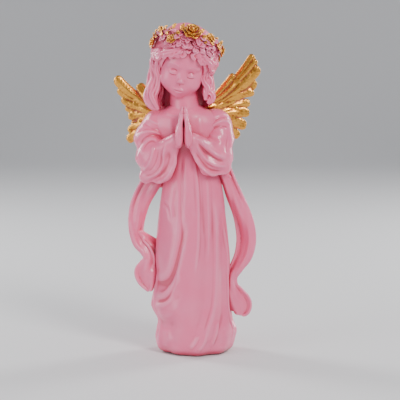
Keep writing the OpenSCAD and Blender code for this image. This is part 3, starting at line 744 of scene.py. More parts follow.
def head():
    """Child's head with closed lids, on the heights above; other sizes are given one by one."""
    w = EYE_W
    body = Body((-18, -22, -40), (18, 21, 23), 0.33)
    body.add(body.ball((0, 1.5, 5), (15.2, 16.8, 16.2)), 1)
    body.add(body.ball((0, -6.0, EYE_Z - 1.4), (2.4 * w, 11.0, CHIN_Z * -0.66)), 5)
    body.add(body.ball((0, -7.0, BROW_Z + 5.2), (2.1 * w, 10.0, 9)), 5)
    body.add(body.ball((0, -9.2, MOUTH_Z + 0.4), (1.2 * w, 5.6, 5.6)), 5)
    foot = from_head(NECK_FOOT)
    body.add(body.limb((0, 1.5, -8), foot, 7.8, 9.4), 3)
    for s in (-1, 1):
        body.add(body.ball((s * 1.2 * w, -10.2, NOSE_Z - 0.8), (w, 5.4, 5.2)), 3.5)
        body.cut(body.ball((s * w, -19.4, EYE_Z + 0.7), (0.72 * w, 3.2, 2.7)), 2.6)
        body.add(body.ball((s * w, -13.8, EYE_Z), (0.54 * w, 2.7, 2.0)), 0.7)
        body.add(body.limb((s * 0.55 * w, -15.9, BROW_Z + 0.1), (s * 1.5 * w, -14.2, BROW_Z), 0.8, 0.7), 3.2)
        body.add(body.ball((s * 0.26 * w, -16.7, NOSE_Z + 0.5), (1.1, 1.2, 0.9)), 0.7)
        body.add(body.ball((s * 0.25 * w, -16.0, MOUTH_Z + 0.75), (0.34 * w, 1.15, 0.8)), 0.5)
    body.add(body.limb((0, -15.6, EYE_Z + 1.4), (0, -17.2, NOSE_Z + 2.0), 0.95, 1.2), 2.0)
    body.add(body.ball((0, -17.6, NOSE_Z + 1.2), (1.5, 1.5, 1.3)), 0.9)
    body.add(body.ball((0, -13.2, MOUTH_Z + 0.1), (0.86 * w, 3.1, 3.0)), 2.8)
    body.add(body.ball((0, -16.0, MOUTH_Z - 0.9), (0.45 * w, 1.3, 0.95)), 0.4)
    body.add(body.ball((0, -13.0, CHIN_Z + 2.2), (0.5 * w, 2.3, 2.2)), 2.2)
    clay = body.skin().smooth(2)
    lash = [(0.54 * w, EYE_Z - 0.6), (0.76 * w, EYE_Z - 1.2), (w, EYE_Z - 1.4), (1.26 * w, EYE_Z - 1.1),
            (1.48 * w, EYE_Z - 0.3)]
    lid = [(0.58 * w, EYE_Z + 1.3), (0.8 * w, EYE_Z + 2.0), (1.05 * w, EYE_Z + 2.2), (1.45 * w, EYE_Z + 1.2)]
    brow = [(0.5 * w, BROW_Z - 0.4), (0.8 * w, BROW_Z + 0.5), (1.15 * w, BROW_Z + 0.8), (1.6 * w, BROW_Z)]
    lip_line = ((-1, 0.3), (-0.5, 0), (0, -0.1), (0.5, 0), (1, 0.3))
    lips = [(x * 0.66 * w, MOUTH_Z + rise) for x, rise in lip_line]
    corner = [(0.6 * w, MOUTH_Z + 0.7), (0.67 * w, MOUTH_Z + 0.2), (0.66 * w, MOUTH_Z - 0.4)]
    line = FACE_LINE
    strokes = [(-line, 0.34, 0, p) for p in both(lash)]
    strokes += [(0.5 * line, 0.34, 0, p) for p in both([(x, z + 0.55) for x, z in lash])]
    strokes += [(-0.75 * line, 0.38, 0, p) for p in both(lid)]
    strokes += [(0.5 * line, 0.6, 0, p) for p in both(brow)]
    nostril = [(0.45, NOSE_Z), (0.8, NOSE_Z + 0.1), (1.2, NOSE_Z + 0.2)]
    groove = [(0, NOSE_Z - 0.9), (0, NOSE_Z - 1.6), (0, NOSE_Z - 2.4)]
    strokes += [(-0.75 * line, 0.3, 0, p) for p in both(nostril)]
    strokes += [(-1.2 * line, 0.32, 0, lips), (-0.5 * line, 0.45, 0, groove)]
    strokes += [(-0.5 * line, 0.45, 0, p) for p in both(corner)]
    clay.emboss(strokes, "front")
    clay.v = at_head(clay.v)
    return clay


piece("head_casting", head(), ["head"], resin)

# ------------------------------------------------------------------ hair

SCALP = np.array((0, 1.5, 3.6))
SCALP_R = np.array((19.2, 19.4, 19.2))
SCALP_MEAN = 19                              # turns a distance along the dome into an angle


def outward(places):
    """Directions from the middle of the hair dome at (azimuth, angle down from the crown)."""
    a = np.radians(places)
    return np.stack([np.sin(a[..., 1]) * np.sin(a[..., 0]), -np.sin(a[..., 1]) * np.cos(a[..., 0]),
                     np.cos(a[..., 1])], -1)


def scalp(places, lift=0.0):
    """Points over the hair dome from (azimuth from the face, angle down from the crown)."""
    out = outward(spline(places, 26))
    return at_head(SCALP + out * (SCALP_R + np.broadcast_to(lift, 26)[:, None]))


def strand(path, width, thick, taper=0.45, grooves=6, depth=0.2):
    """Ribbon of hair along a path, its flat side away from the middle of the head."""
    middle = HEAD_AT + (0, 3, 0)
    out = path - middle
    out[:, 2] *= np.where(path[:, 2] > middle[2], 1.0, 0.15)
    t = np.linspace(0, 1, len(path))
    swell = np.sin(math.pi * np.clip(t * 0.94 + 0.03, 0, 1)) ** taper
    return sweep(path, unit(out), width * swell, thick * swell, 30, grooves, depth)


def wound(path, radius, turns, phase):
    """Path that winds round another path."""
    t = unit(np.gradient(path, axis=0))
    side = unit(np.cross(t, (0.0, 1.0, 0.15)))
    out = np.cross(side, t)
    s = np.linspace(0, 1, len(path))
    a = (2 * math.pi * turns * s + phase)[:, None]
    r = radius * np.sin(math.pi * np.clip(s, 0.04, 0.96))[:, None] ** 0.5
    return path + r * (np.cos(a) * side + np.sin(a) * out)


def lock(points, width, thick, radius, turns, phase=0.0, count=2):
    """Rope-like lock of several strands wound together."""
    path = spline(points, 44)
    return [strand(wound(path, radius, turns, phase + 2 * math.pi * k / count), width, thick)
            for k in range(count)]


def curl(azimuth, down, radius, side, width=3.0):
    """Rolled curl that lies on the hair dome."""
    t = np.linspace(0, 1, 34)
    a = 2 * math.pi * 1.35 * t
    r = radius * (1 - 0.72 * t)
    out = outward(np.stack([azimuth + side * np.degrees(r * np.sin(a) / SCALP_MEAN),
                            down + np.degrees(r * (1 - np.cos(a)) / SCALP_MEAN)], 1))
    return strand(at_head(SCALP + out * (SCALP_R + (0.5 + 1.5 * t)[:, None])), width, 2.6, 0.3)


def hair_dome():
    body = Body((-22, -21, -16), (22, 25, 25), 0.6)
    body.add(body.ball(SCALP, SCALP_R), 1)
    body.cut(body.ball((0, -19, -6.5), (15.2, 18, 17.0)), 0.8)
    body.cut(body.p[..., 2] + 12.5, 0.8)
    clay = body.skin()
    clay.v = at_head(clay.v)
    return clay


def hair_cap():
    clays = [hair_dome()]
    for k in range(30):
        azimuth = 5 + 360 * (k + 0.5) / 30 + rng.uniform(-3, 3)
        swirl = rng.uniform(-10, 10)
        places = [(azimuth - 26, 8), (azimuth - 10, 26), (azimuth + 0.3 * swirl, 46), (azimuth + swirl, 68)]
        clays.append(strand(scalp(places, rng.uniform(-0.5, 0.1)), 4.6, 1.9))
    for side in (-1, 1):                     # waved fringe, parted above the figure's left eye
        for k in range(10):
            wave, drop = 2.6 * (-1) ** k, (0.0, 4.0, 1.5, 5.0)[k % 4]
            start, end = 5 + side * (1 + 2.2 * k), 5 + side * (11 + 6.2 * k)
            top, foot = 52 + k, 74 + 2.9 * k - 0.06 * k * k + drop
            places = [(start, top), (start + side * (2 + wave), top + 8),
                      ((start + end) / 2 + side * 3, (top + foot) / 2 + 2),
                      (end - side * wave, foot - 5), (end + side * 2.5, foot - 1),
                      (end + side * 7, foot + 1.5)]
            clays.append(strand(scalp(places, 0.4 + 0.45 * (k % 3)), 3.1, 2.2, 0.42, 4, 0.24))
        for k in range(7):
            start, end = 5 + side * (2 + 6 * k), 5 + side * (18 + 9 * k)
            wave = 3.0 * (-1) ** k
            places = [(start, 42), (start + side * 4, 52), ((start + end) / 2 + wave, 62),
                      (end, 70 + k), (end + side * 4, 76 + 2 * k)]
            clays.append(strand(scalp(places, -0.1), 3.4, 2.2, 0.3))
    for azimuth, foot, side in ((-24, 84, -1), (-4, 79, -1), (11, 78, 1), (27, 85, 1)):
        places = [(azimuth, foot - 18), (azimuth + side * 3, foot - 11), (azimuth - side * 1.5, foot - 5),
                  (azimuth + side * 2.5, foot + 0.5), (azimuth + side * 6.5, foot - 0.5)]
        clays.append(strand(scalp(places, 1.5), 2.2, 1.9, 0.4, 3, 0.2))
    for azimuth, down, radius, side in ((-56, 84, 3.2, -1), (-68, 100, 3.0, 1), (60, 86, 3.0, 1),
                                        (68, 102, 2.8, -1), (-84, 90, 2.8, 1), (86, 92, 2.7, -1)):
        clays.append(curl(azimuth, down, radius, side))
    for k in range(13):                      # waves over the back and the sides of the head
        azimuth = 98 + 164 * k / 12
        wave = rng.uniform(5, 8)
        clays.append(strand(scalp([(azimuth, 56), (azimuth + wave, 74), (azimuth - 0.7 * wave, 94),
                                   (azimuth + 0.6 * wave, 116)], rng.uniform(-0.2, 0.6)), 5.6, 2.4, 0.35))
    for s in (-1, 1):
        for azimuth, shift in ((74, 4), (84, -4), (94, 3)):
            clays.append(strand(scalp([(s * azimuth, 58), (s * (azimuth + shift), 76),
                                       (s * (azimuth - shift), 94),
                                       (s * (azimuth + shift), 112)], 0.5), 4.6, 2.3, 0.35))
    return fused(clays, 0.32, 1)


RIGHT_LOCK = [
    ([(-25.8, -4, 190), (-27.4, -4.5, 184), (-26.0, -4, 178), (-25.6, -4, 173.5), (-28.8, -4.5, 168.5),
      (-30.2, -5, 162.5), (-28.0, -6.5, 157.6), (-25.2, -7.5, 154.6)], 5.4, 4.0, 1.1, 1.2),
    ([(-23.2, -8, 186), (-24.0, -7.4, 180), (-23.2, -6.4, 175), (-25.0, -6.4, 169.5), (-27.0, -6.8, 164),
      (-25.8, -7.8, 158.6), (-23.6, -8.2, 154.6)], 5.2, 4.0, 0.9, 1.1),
    ([(-26.4, 0, 188), (-27.4, -0.5, 178), (-28, -0.5, 170), (-29.4, -1, 162), (-27, -2.4, 154.6)],
     6.0, 4.6, 1.0, 1.0),
    ([(-23.4, 2, 186), (-23.6, 2, 177), (-23.2, 2.4, 168), (-24.4, 2.4, 160), (-23, 2, 154.6)],
     6.0, 4.6, 0.9, 1.0),
]
LEFT_LOCK = [
    ([(11.6, -4, 188), (9.6, -4, 182), (6.8, -4, 177.5), (8.2, -4.4, 173), (7.6, -4.6, 168.6),
      (10.0, -5, 164), (9.2, -6, 160.6), (7.2, -6.6, 158.4)], 5.0, 3.8, 1.0, 1.3),
    ([(8.6, -7.2, 185), (6.8, -7.0, 179.6), (5.2, -6.8, 174.4), (6.6, -6.4, 169.6), (6.4, -6.8, 165),
      (5.6, -7.2, 160.6)],
     4.6, 3.6, 0.9, 1.2),
    ([(11.4, -0.4, 186), (9.0, -0.6, 178), (8.2, -1, 171), (9.6, -2, 164.5), (8.8, -3.2, 159.6)],
     5.4, 4.4, 0.9, 1.1),
    ([(9.4, 2, 184), (8.2, 2, 176), (7.6, 2.4, 168), (8.6, 2.4, 161), (7.8, 2, 157.6)], 5.4, 4.2, 0.9, 1.2),
]


def side_lock(locks, phase):
    clays = []
    for points, width, thick, radius, turns in locks:
        clays += lock(points, width, thick, radius, turns, phase)
        phase += 1.7
    return fused(clays, 0.34)


def hair_back():
    lo, hi = low("hair_back"), high("hair_back")
    clays = []
    count = 9
    for k in range(count):
        s = (k + 0.5) / count
        x = lo[0] + 3 + s * (hi[0] - lo[0] - 6)
        bulge = math.sin(math.pi * s)
        y0, y1 = 8.5 + 9.5 * bulge, 6.5 + 9.5 * bulge
        foot = lo[2] + 1.5 + 6 * abs(s - 0.52)
        mid_x = -8.0
        wave = rng.uniform(1.0, 1.7)
        points = [(mid_x + 0.86 * (x - mid_x), y0 - 0.6, 186), (x + wave, y0, 178), (x - wave, y1 + 0.6, 169),
                  (x + wave, y1, 160), (mid_x + 0.86 * (x - mid_x), y1 + 0.4, foot)]
        clays += lock(points, 5.6, 3.6, 1.0, 1.1, 0.8 * k)
    core = spline([(-7.5, 9, 184), (-8, 10, 175), (-8.5, 9.5, 166), (-9, 9.5, 158), (-9, 9.5, 152.5)], 20)
    clays.append(sweep(core, (0.0, 1.0, 0.0), 32 * np.linspace(1, 0.86, 20),
                       11 * np.linspace(1, 0.75, 20), 24))
    return fused(clays, 0.42)


piece("hair_crown", hair_cap(), ["hair_cap"], resin)
piece("hair_behind", hair_back(), ["hair_back"], resin)
piece("right_lock_casting", side_lock(RIGHT_LOCK, 0.4), ["right_lock"], resin)
piece("left_lock_casting", side_lock(LEFT_LOCK, 2.2), ["left_lock"], resin)

# ------------------------------------------------------------------ wreath

WREATH_MIDDLE = np.array((0, 1.5, 10.0))
WREATH_LIFT = -40.0                          # the front of the wreath is raised
WREATH_R = 20.5
WREATH_FLAT = 0.94


def on_wreath(points, angle, lift=0.0):
    """Points with Z outwards, moved to that angle round the wreath from its front."""
    q = np.asarray(points, float)
    q = np.stack([q[..., 0], -q[..., 2], q[..., 1]], -1)
    q = turned(q, angle, 2)
    a = math.radians(angle)
    r = WREATH_R + lift
    q = q + (r * math.sin(a), -WREATH_FLAT * r * math.cos(a), 0)
    return at_head(turned(q, WREATH_LIFT, 0) + WREATH_MIDDLE)


def petal(length, width, cup, curl_back, thick=0.55):
    """Petal from the origin along +X, hollow above, its lip curled back."""
    s, u = np.meshgrid(np.linspace(0, 1, 12), np.linspace(-1, 1, 11), indexing="ij")
    w = width / 2 * np.sin(math.pi * np.clip(0.12 + 0.76 * s, 0, 1)) ** 0.7 * (1 - 0.25 * (1 - s))
    x = length * s - 0.12 * length * s * u * u
    y = w * u
    z = cup * (u * u * 0.7 + 0.9 * s * s) - curl_back * np.maximum(s - 0.7, 0) ** 2 * 8
    z += 0.06 * np.sin(9 * u) * s
    return sheet(np.stack([x, y, z], -1), thick)


def leaf(length, width, bend):
    """Leaf along +X with a pressed midrib and side veins."""
    s, u = np.meshgrid(np.linspace(0, 1, 15), np.linspace(-1, 1, 11), indexing="ij")
    w = width / 2 * np.sin(math.pi * s ** 0.95) ** 0.62 + 0.12
    z = bend * s * (1 - s) * 4 + 0.35 * width * np.abs(u) * (1 - s * 0.5) * 0.5
    z += 0.10 * np.cos(2 * math.pi * (5 * s - 1.2 * np.abs(u))) * (1 - np.abs(u))
    return sheet(np.stack([length * s, w * u, z], -1), 0.6)


def posed(clay, *moves):
    """Clay after turns (degrees, axis) and shifts (x, y, z), in order."""
    for move in moves:
        clay.v = turned(clay.v, *move) if len(move) == 2 else clay.v + np.array(move, float)
    return clay


def ball_clay(radius, flat=1.0, rings=9, sides=14):
    a = np.linspace(0.12, math.pi - 0.12, rings)[:, None]
    b = 2 * math.pi * np.arange(sides) / sides
    return loft(np.stack([-radius * np.sin(a) * np.cos(b), radius * np.sin(a) * np.sin(b),
                          radius * flat * np.cos(a) * np.ones(sides)], -1))


def flower(radius, rows, heart):
    """Open flower about +Z: rows of five petals round a heart."""
    clays = []
    for row in range(rows):
        size = radius * (1 - 0.26 * row)
        for k in range(5):
            turn = 72 * k + 36 * row + rng.uniform(-5, 5)
            lean = -(8 + 26 * row) + rng.uniform(-4, 4)
            clays.append(posed(petal(size, size * 1.12, 0.22 * size, 0.09 * size),
                               (lean, 1), (0, 0, 0.25 * row), (turn, 2)))
    clays.append(posed(ball_clay(heart, 0.8), (0, 0, 0.25 * radius)))
    return clays


def rose():
    """Full rose, its petals wrapped tighter towards the heart."""
    clays = []
    rows = ((5.8, 4, 0, 6), (5.3, 28, 0.5, 6), (4.3, 50, 1.0, 5), (3.1, 68, 1.4, 5))
    for row, (size, lean, z, count) in enumerate(rows):
        for k in range(count):
            turn = 360 * k / count + 31 * row + rng.uniform(-4, 4)
            clays.append(posed(petal(size, size * 1.2, 0.2 * size, 0.13 * size, 0.6),
                               (-lean, 1), (0.25, 0, z), (turn, 2)))
    clays.append(posed(ball_clay(1.6, 1.3), (0, 0, 2.7)))
    clays.append(posed(ball_clay(3.6, 0.7), (0, 0, -0.2)))
    return clays


def placed(clays, angle, lift, *moves):
    """Clays moved onto the wreath at an angle round it."""
    for clay in clays:
        posed(clay, *moves)
        clay.v = on_wreath(clay.v, angle, lift)
    return clays


ROSE_ANGLE = 0
LEAF_COUNT, BEAD_COUNT = 46, 14
BLOSSOMS = [(-84, 4.5, 4.5), (82, 3.8, 0), (-32, 3.4, 6.5), (36, 3.0, 0), (140, 3.6, 0), (-140, 3.8, 0),
            (180, 4.0, 0)]                   # angle, radius and how far below the twigs
SMALL_FLOWERS = [(-58, 2.3), (60, 2.2), (-112, 2.4), (112, 2.4), (-160, 2.2), (160, 2.2), (-17, 1.9),
                 (23, 1.9)]


TWIG_R = 0.62


def wreath_vine():
    """Ring of three twigs wound round each other."""
    clays = []
    a = np.linspace(0, 360, 181)[:-1]
    for k in range(3):
        phase = np.radians(9 * a + 120 * k)
        ring = np.array([on_wreath((0, 0.75 * math.sin(p), 0.75 * math.cos(p)), t, -0.7)
                         for t, p in zip(a, phase)])
        t = unit(np.roll(ring, -1, 0) - np.roll(ring, 1, 0))
        middle = on_wreath((0, 0, -WREATH_R), 0)
        side = unit(np.cross(t, unit(ring - middle)))
        out = np.cross(side, t)
        rows, cols = len(a), 8
        b = 2 * math.pi * np.arange(cols)[:, None] / cols
        tube = ring[:, None] + TWIG_R * (side[:, None] * np.cos(b) + out[:, None] * np.sin(b))
        i, j = np.meshgrid(np.arange(rows), np.arange(cols), indexing="ij")
        n, m = (i + 1) % rows, (j + 1) % cols
        quads = np.stack([i * cols + j, i * cols + m, n * cols + m, n * cols + j], -1)
        clays.append(Clay(tube.reshape(-1, 3), quads.reshape(-1, 4)))
    return fused(clays, 0.3)


def wreath_leaves():
    clays = []
    for k in range(LEAF_COUNT):
        angle = 360 * (k + 0.5) / LEAF_COUNT + rng.uniform(-2, 2)
        if abs((angle - ROSE_ANGLE + 180) % 360 - 180) < 11:
            continue
        side = 1 if k % 2 else -1
        blade = leaf(rng.uniform(4.0, 4.9), rng.uniform(1.9, 2.4), rng.uniform(0.3, 0.6))
        clays += placed([blade], angle, rng.uniform(-0.2, 0.3), (rng.uniform(-26, -8), 1),
                        (side * rng.uniform(32, 62), 2), (0, side * 0.5, 0))
    return clays


def wreath_blossoms():
    clays = []
    for angle, radius, drop in BLOSSOMS:
        clays += placed(flower(radius, 2, 0.26 * radius), angle, 0.6, (0, -drop, 0))
    for k, (angle, radius) in enumerate(SMALL_FLOWERS):
        clays += placed(flower(radius, 1, 0.36 * radius), angle, 0.5, (0, 1.3 * (-1) ** k, 0.4))
    for azimuth, down, radius in GILDED_BUDS:
        clays += [on_scalp(c, azimuth, down, 3.4) for c in flower(radius, 2, 0.3 * radius)]
    for k in range(BEAD_COUNT):
        angle = -170 + 25.5 * k
        if abs(angle - ROSE_ANGLE) > 18:
            bead = ball_clay(rng.uniform(0.7, 0.95))
            clays += placed([bead], angle, 1.1, (0, rng.choice((-1.9, 1.9)), 0))
    return clays


def on_scalp(clay, azimuth, down, lift):
    """Clay with Z outwards, moved onto the hair dome; its +Y points at the crown."""
    q = clay.v + (0, 0, lift)
    out = unit(outward((azimuth, down)))
    right = unit(np.cross((0, 0, 1.0), out))
    up = np.cross(out, right)
    clay.v = at_head(SCALP + out * SCALP_R + q[:, :1] * right + q[:, 1:2] * up + q[:, 2:] * out)
    return clay


# angle down, leaves, leaf length, lift and span to each side
GARLAND_ROWS = [(41, 9, 4.8, 3.0, 44), (47, 14, 5.2, 2.4, 62), (53, 19, 5.2, 1.7, 80),
                (59, 22, 5.0, 1.1, 98), (64, 21, 4.2, 0.8, 98)]
# azimuth, angle down and radius
GARLAND_FLOWERS = [(-74, 60, 3.0), (-55, 52, 2.6), (-44, 60, 2.7), (-29, 54, 2.4), (-14, 50, 3.0),
                   (-20, 61, 2.3), (-3, 58, 2.4), (12, 52, 2.5), (12, 61, 2.3), (26, 56, 2.8),
                   (42, 60, 2.5), (50, 52, 2.6), (66, 60, 2.7)]
GILDED_BUDS = [(-34, 46, 2.6), (-24, 50, 2.0), (-52, 46, 1.9), (20, 47, 1.9), (34, 49, 2.0), (-8, 47, 1.7)]


def garland():
    """Pink leaves and small open flowers that hang from the twigs over the fringe."""
    clays = []
    for row, (down, count, size, lift, span) in enumerate(GARLAND_ROWS):
        for k in range(count):
            azimuth = span * (2 * (k + 0.5) / count - 1) + rng.uniform(-2, 2)
            blade = leaf(size * rng.uniform(0.85, 1.15), size * rng.uniform(0.55, 0.72),
                         rng.uniform(0.4, 0.9))
            posed(blade, (rng.uniform(-34, -8), 1), (rng.uniform(-165, -15), 2))
            clays.append(on_scalp(blade, azimuth, down + rng.uniform(-1.5, 1.5), lift))
    for azimuth, down, radius in GARLAND_FLOWERS:
        lift = 1.4 + 0.12 * (62 - down)      # less towards the edge of the fringe
        clays += [on_scalp(c, azimuth, down, lift) for c in flower(radius, 2, 0.3 * radius)]
    return clays


piece("wreath_greenery", [wreath_vine()] + garland(), ["wreath_vine"], resin)
piece("wreath_rose_casting", placed(rose(), ROSE_ANGLE, 0.3, (-22, 0), (0, -0.6, 0)), ["wreath_rose"],
      gilt)
piece("wreath_blossom_castings", wreath_blossoms(), ["wreath_blossoms"], gilt)
piece("wreath_leaf_castings", wreath_leaves(), ["wreath_leaves"], gilt)

# ------------------------------------------------------------------ wings

# Feathers in plan: base x, base z, tip x, tip z, width, bend, layer and how deep the tip is cupped
LEFT_FEATHERS = [
    (13, 160, 36.6, 188.0, 4.6, -1.4, 0, 0.2), (14, 160, 38.4, 185.0, 4.4, -1.0, 0.5, 0.2),
    (15, 158, 40.0, 180.4, 7.0, -1.4, 0.9, 0.5), (15, 156, 38.2, 171.2, 6.8, -1.0, 0.2, 0.7),
    (14, 155, 36.8, 164.6, 6.2, 2.4, 0.9, 0.4), (14, 152, 34.4, 157.6, 5.6, 1.2, 0.2, 0.5),
    (15, 150, 34.0, 151.2, 6.4, 1.0, 0.9, 0.9), (16, 147, 32.0, 142.4, 7.0, 1.0, 0.4, 1.0),
    (16, 144, 27.4, 135.6, 5.6, 0.5, 0, 0.8),
]
LEFT_COVERTS = [
    (10, 160, 24.5, 175.5, 4.6, -0.8, 1.8, 0.4), (10, 158, 28.0, 172.0, 4.8, -0.6, 2.3, 0.5),
    (9, 155, 28.5, 165.6, 5.2, 0.6, 1.8, 0.6), (9, 152, 24.5, 160.4, 6.0, 0.9, 2.6, 0.9),
    (10, 150, 27.0, 154.0, 5.0, 0.6, 1.8, 0.6), (11, 147, 25.2, 147.6, 5.6, 0.8, 2.3, 0.8),
    (12, 145, 23.6, 140.8, 4.8, 0.6, 1.6, 0.6), (8, 155, 19.2, 157.0, 5.8, 0.4, 3.2, 1.0),
]
RIGHT_FEATHERS = [
    (-30, 157, -51.6, 173.8, 6.6, 1.6, 0.6, 0.3), (-30, 155.5, -50.0, 166.4, 5.0, 1.4, 0, 0.3),
    (-31, 154, -47.6, 160.4, 5.4, 1.0, 0.6, 0.5), (-31, 152, -45.2, 154.4, 5.6, -0.6, 0, 0.6),
    (-31, 150, -43.4, 148.6, 5.6, -0.8, 0.6, 0.7), (-32, 147, -41.0, 143.0, 5.4, -0.8, 0, 0.7),
    (-33, 145, -43.2, 138.6, 5.6, -0.6, 0.8, 0.9), (-34, 141, -43.8, 132.8, 5.4, -0.5, 0.2, 1.0),
]
RIGHT_COVERTS = [
    (-29, 156, -36.8, 169.4, 5.8, -0.6, 2.4, 1.0), (-28, 155, -42.4, 164.4, 5.0, 0.8, 1.7, 0.5),
    (-28, 152, -40.4, 157.6, 5.2, 0.5, 2.3, 0.7), (-28, 149, -38.6, 151.2, 5.2, -0.4, 1.8, 0.7),
    (-29, 146, -37.4, 145.2, 5.0, -0.6, 2.3, 0.8), (-30, 143, -38.6, 138.4, 4.6, -0.5, 1.7, 0.7),
]
ROOT_FEATHERS = [                            # over the root of the left wing, behind
    (1, 138, 9.5, 151, 7.0, 0.8, 1.6, 0.5), (3.5, 138, 15.5, 147.5, 6.0, 0.6, 0.8, 0.6),
    (-1, 140, 5.5, 156, 5.6, -0.8, 0.8, 0.5), (-1.5, 136.5, 5, 145, 6.2, 0.3, 2.6, 0.6),
]
WING_Y = 17.4


def feather(spec, behind=False):
    x0, z0, x1, z1, width, bend, layer, cup = spec
    rows, cols = 44, 25
    s, u = np.meshgrid(np.linspace(0, 1, rows), np.linspace(-1, 1, cols), indexing="ij")
    along = np.array((x1 - x0, z1 - z0), float)
    length = np.linalg.norm(along)
    along /= length
    side = np.array((-along[1], along[0]))
    arch = 4 * bend * s * (1 - s)
    tip_end = 1 - 0.5 * width / length
    w = width / 2 * np.where(s < tip_end, 0.62 + 0.38 * ramp(s, 0, 0.6),
                             np.sqrt(np.clip(1 - ((s - tip_end) / (1 - tip_end)) ** 2, 0.02, 1)))
    x = x0 + along[0] * length * s + side[0] * (w * u + arch)
    z = z0 + along[1] * length * s + side[1] * (w * u + arch)
    camber = 1.5 * (1 - u * u)
    rachis = 0.3 * bell(u / 0.16) * (1 - 0.6 * s)
    barbs = 0.06 * np.cos(2 * math.pi * (s * length / 2.2 - 1.3 * np.abs(u))) * ramp(np.abs(u), 0.12, 0.3)
    bowl = cup * np.exp(-((s - tip_end + 0.02) / (0.20 * width / 5 * 20 / length)) ** 2 - (u / 0.62) ** 2)
    relief = camber + rachis - barbs - 1.3 * bowl
    y = WING_Y + 2.6 * s + (0.6 + 0.6 * layer + relief if behind else -layer - relief)
    return sheet(np.stack([x, y, z], -1), 1.5, 0.5)


def wing(feathers, coverts, arm, root):
    clays = [feather(spec) for spec in feathers + coverts] + [feather(spec, True) for spec in coverts + root]
    path = spline(arm, 30)
    clays.append(sweep(path[:, :3], (0.0, -1.0, 0.0), path[:, 3], path[:, 4], 20, 6, 0.05))
    return fused(clays, 0.33, 1)


LEFT_ARM = [(-1, 14.2, 137, 5, 6), (0, 14.6, 140, 9, 8), (5, 15.8, 147, 10, 6.4), (11, 16.6, 155, 9, 5),
            (18, 17.2, 163, 6.6, 4.4),
            (27, 18, 173.4, 4.2, 3.4), (33, 18.6, 181, 2.2, 2.2)]
RIGHT_ARM = [(-12, 14.2, 137, 5, 6), (-13, 14.6, 140, 9, 8), (-19, 15.8, 146, 10, 6.4),
             (-26, 16.6, 152, 9, 5), (-33, 17.2, 158, 6.6, 4.4),
             (-40, 18, 164, 4.2, 3.4), (-46, 18.6, 169, 2.2, 2.2)]

piece("left_wing_casting", wing(LEFT_FEATHERS, LEFT_COVERTS, LEFT_ARM, ROOT_FEATHERS), ["left_wing"],
      gilt)
mirrored = [(-12 - x0, z0, -12 - x1, z1, width, -bend, layer, cup)
            for x0, z0, x1, z1, width, bend, layer, cup in ROOT_FEATHERS]
piece("right_wing_casting", wing(RIGHT_FEATHERS, RIGHT_COVERTS, RIGHT_ARM, mirrored), ["right_wing"],
      gilt)

# ------------------------------------------------------------------ shawl

# Middle line of each part of the shawl: x, y, z, width and roll
RIGHT_SHAWL = [
    (-25, -0.5, 113, 12, 0), (-29.6, 0, 106, 12.6, 6), (-34.4, 0.5, 97, 12.2, 12),
    (-36.8, 0.8, 88.5, 11.6, 15),
    (-37.8, 0.6, 81, 10.4, 15), (-38.0, 0.2, 75, 8.4, 8), (-36.2, -1, 69.5, 7.8, 0),
    (-32.6, -2.2, 65.5, 7.4, -10),
    (-30, -2.6, 60.4, 7.4, -15), (-31, -2.8, 56, 11.2, -10), (-32.0, -3, 51.6, 14.8, -5),
    (-31.2, -3.2, 46.6, 12.8, 0),
    (-30, -3.2, 42, 7.4, 0), (-29.4, -3.2, 38.9, 1.8, 0),
]
LEFT_SHAWL = [
    (17, -0.4, 118, 9, 0), (20.6, 0.5, 109, 9, 0), (24, 1, 100, 10.4, -8), (27.6, 1.4, 91, 11.8, -16),
    (30.6, 1.6, 81.5, 13.2, -22), (32, 1.4, 71.5, 13.4, -24), (30.4, 0.6, 62, 11.8, -18),
    (26.2, -0.6, 54.5, 8.8, -8),
    (22.6, -1.8, 48.5, 7.8, 0), (22.4, -2.8, 42, 10, 10), (25, -3.2, 36.4, 13, 12),
    (27.8, -3, 31, 15, 8), (28.4, -2.8, 26.6, 12.6, 4),
    (27.4, -2.8, 23.4, 5, 0),
]
BACK_SHAWL = [
    (-27.6, -0.2, 110.4, 8, 0), (-28.6, 3.4, 110.2, 9, 0), (-27, 7.8, 109.8, 10, 0),
    (-21, 12.4, 109, 11.2, 0),
    (-12.6, 15.9, 107, 12.2, 0), (-3, 17.3, 105.8, 12.6, 0), (6.6, 15.9, 107.6, 11.8, 0),
    (13.4, 12.5, 110.2, 10.8, 0), (18.8, 7.8, 112, 9.6, 0), (20.8, 3.8, 112.6, 9, 0), (20.2, 0, 113, 8, 0),
]


def shawl(stations, ridges, height, thick, rows=170, cols=64, phase=0.4, sway=1.6, behind=False):
    """Folded band of cloth; ridges run along it and wander sideways."""
    st = spline(stations, rows)
    c = st[:, :3]
    t = unit(np.gradient(c, axis=0))
    facing = unit(c * (0.6, 1, 0) + (2.4, 0, 0)) if behind else (0.0, -1.0, 0.0)
    across = unit(np.cross(t, facing))
    out = np.cross(across, t)
    roll = np.radians(st[:, 4])[:, None]
    side = across * np.cos(roll) + out * np.sin(roll)
    out = out * np.cos(roll) - across * np.sin(roll)
    s, u = np.meshgrid(np.linspace(0, 1, rows), np.linspace(-1, 1, cols), indexing="ij")
    drift = sway * np.sin(2 * math.pi * 1.15 * s + phase)
    fine = np.cos(math.pi * 2.6 * ridges * u - 1.4 * drift)
    lift = height * (np.cos(math.pi * ridges * u + drift) + 0.22 * fine)
    lift += 0.5 * height * np.abs(u) ** 6 - 0.6 * u * u
    w = (st[:, 3] / 2)[:, None] * u
    grid = c[:, None] + side[:, None] * w[..., None] + out[:, None] * lift[..., None]
    return sheet(grid, thick, 0.55)


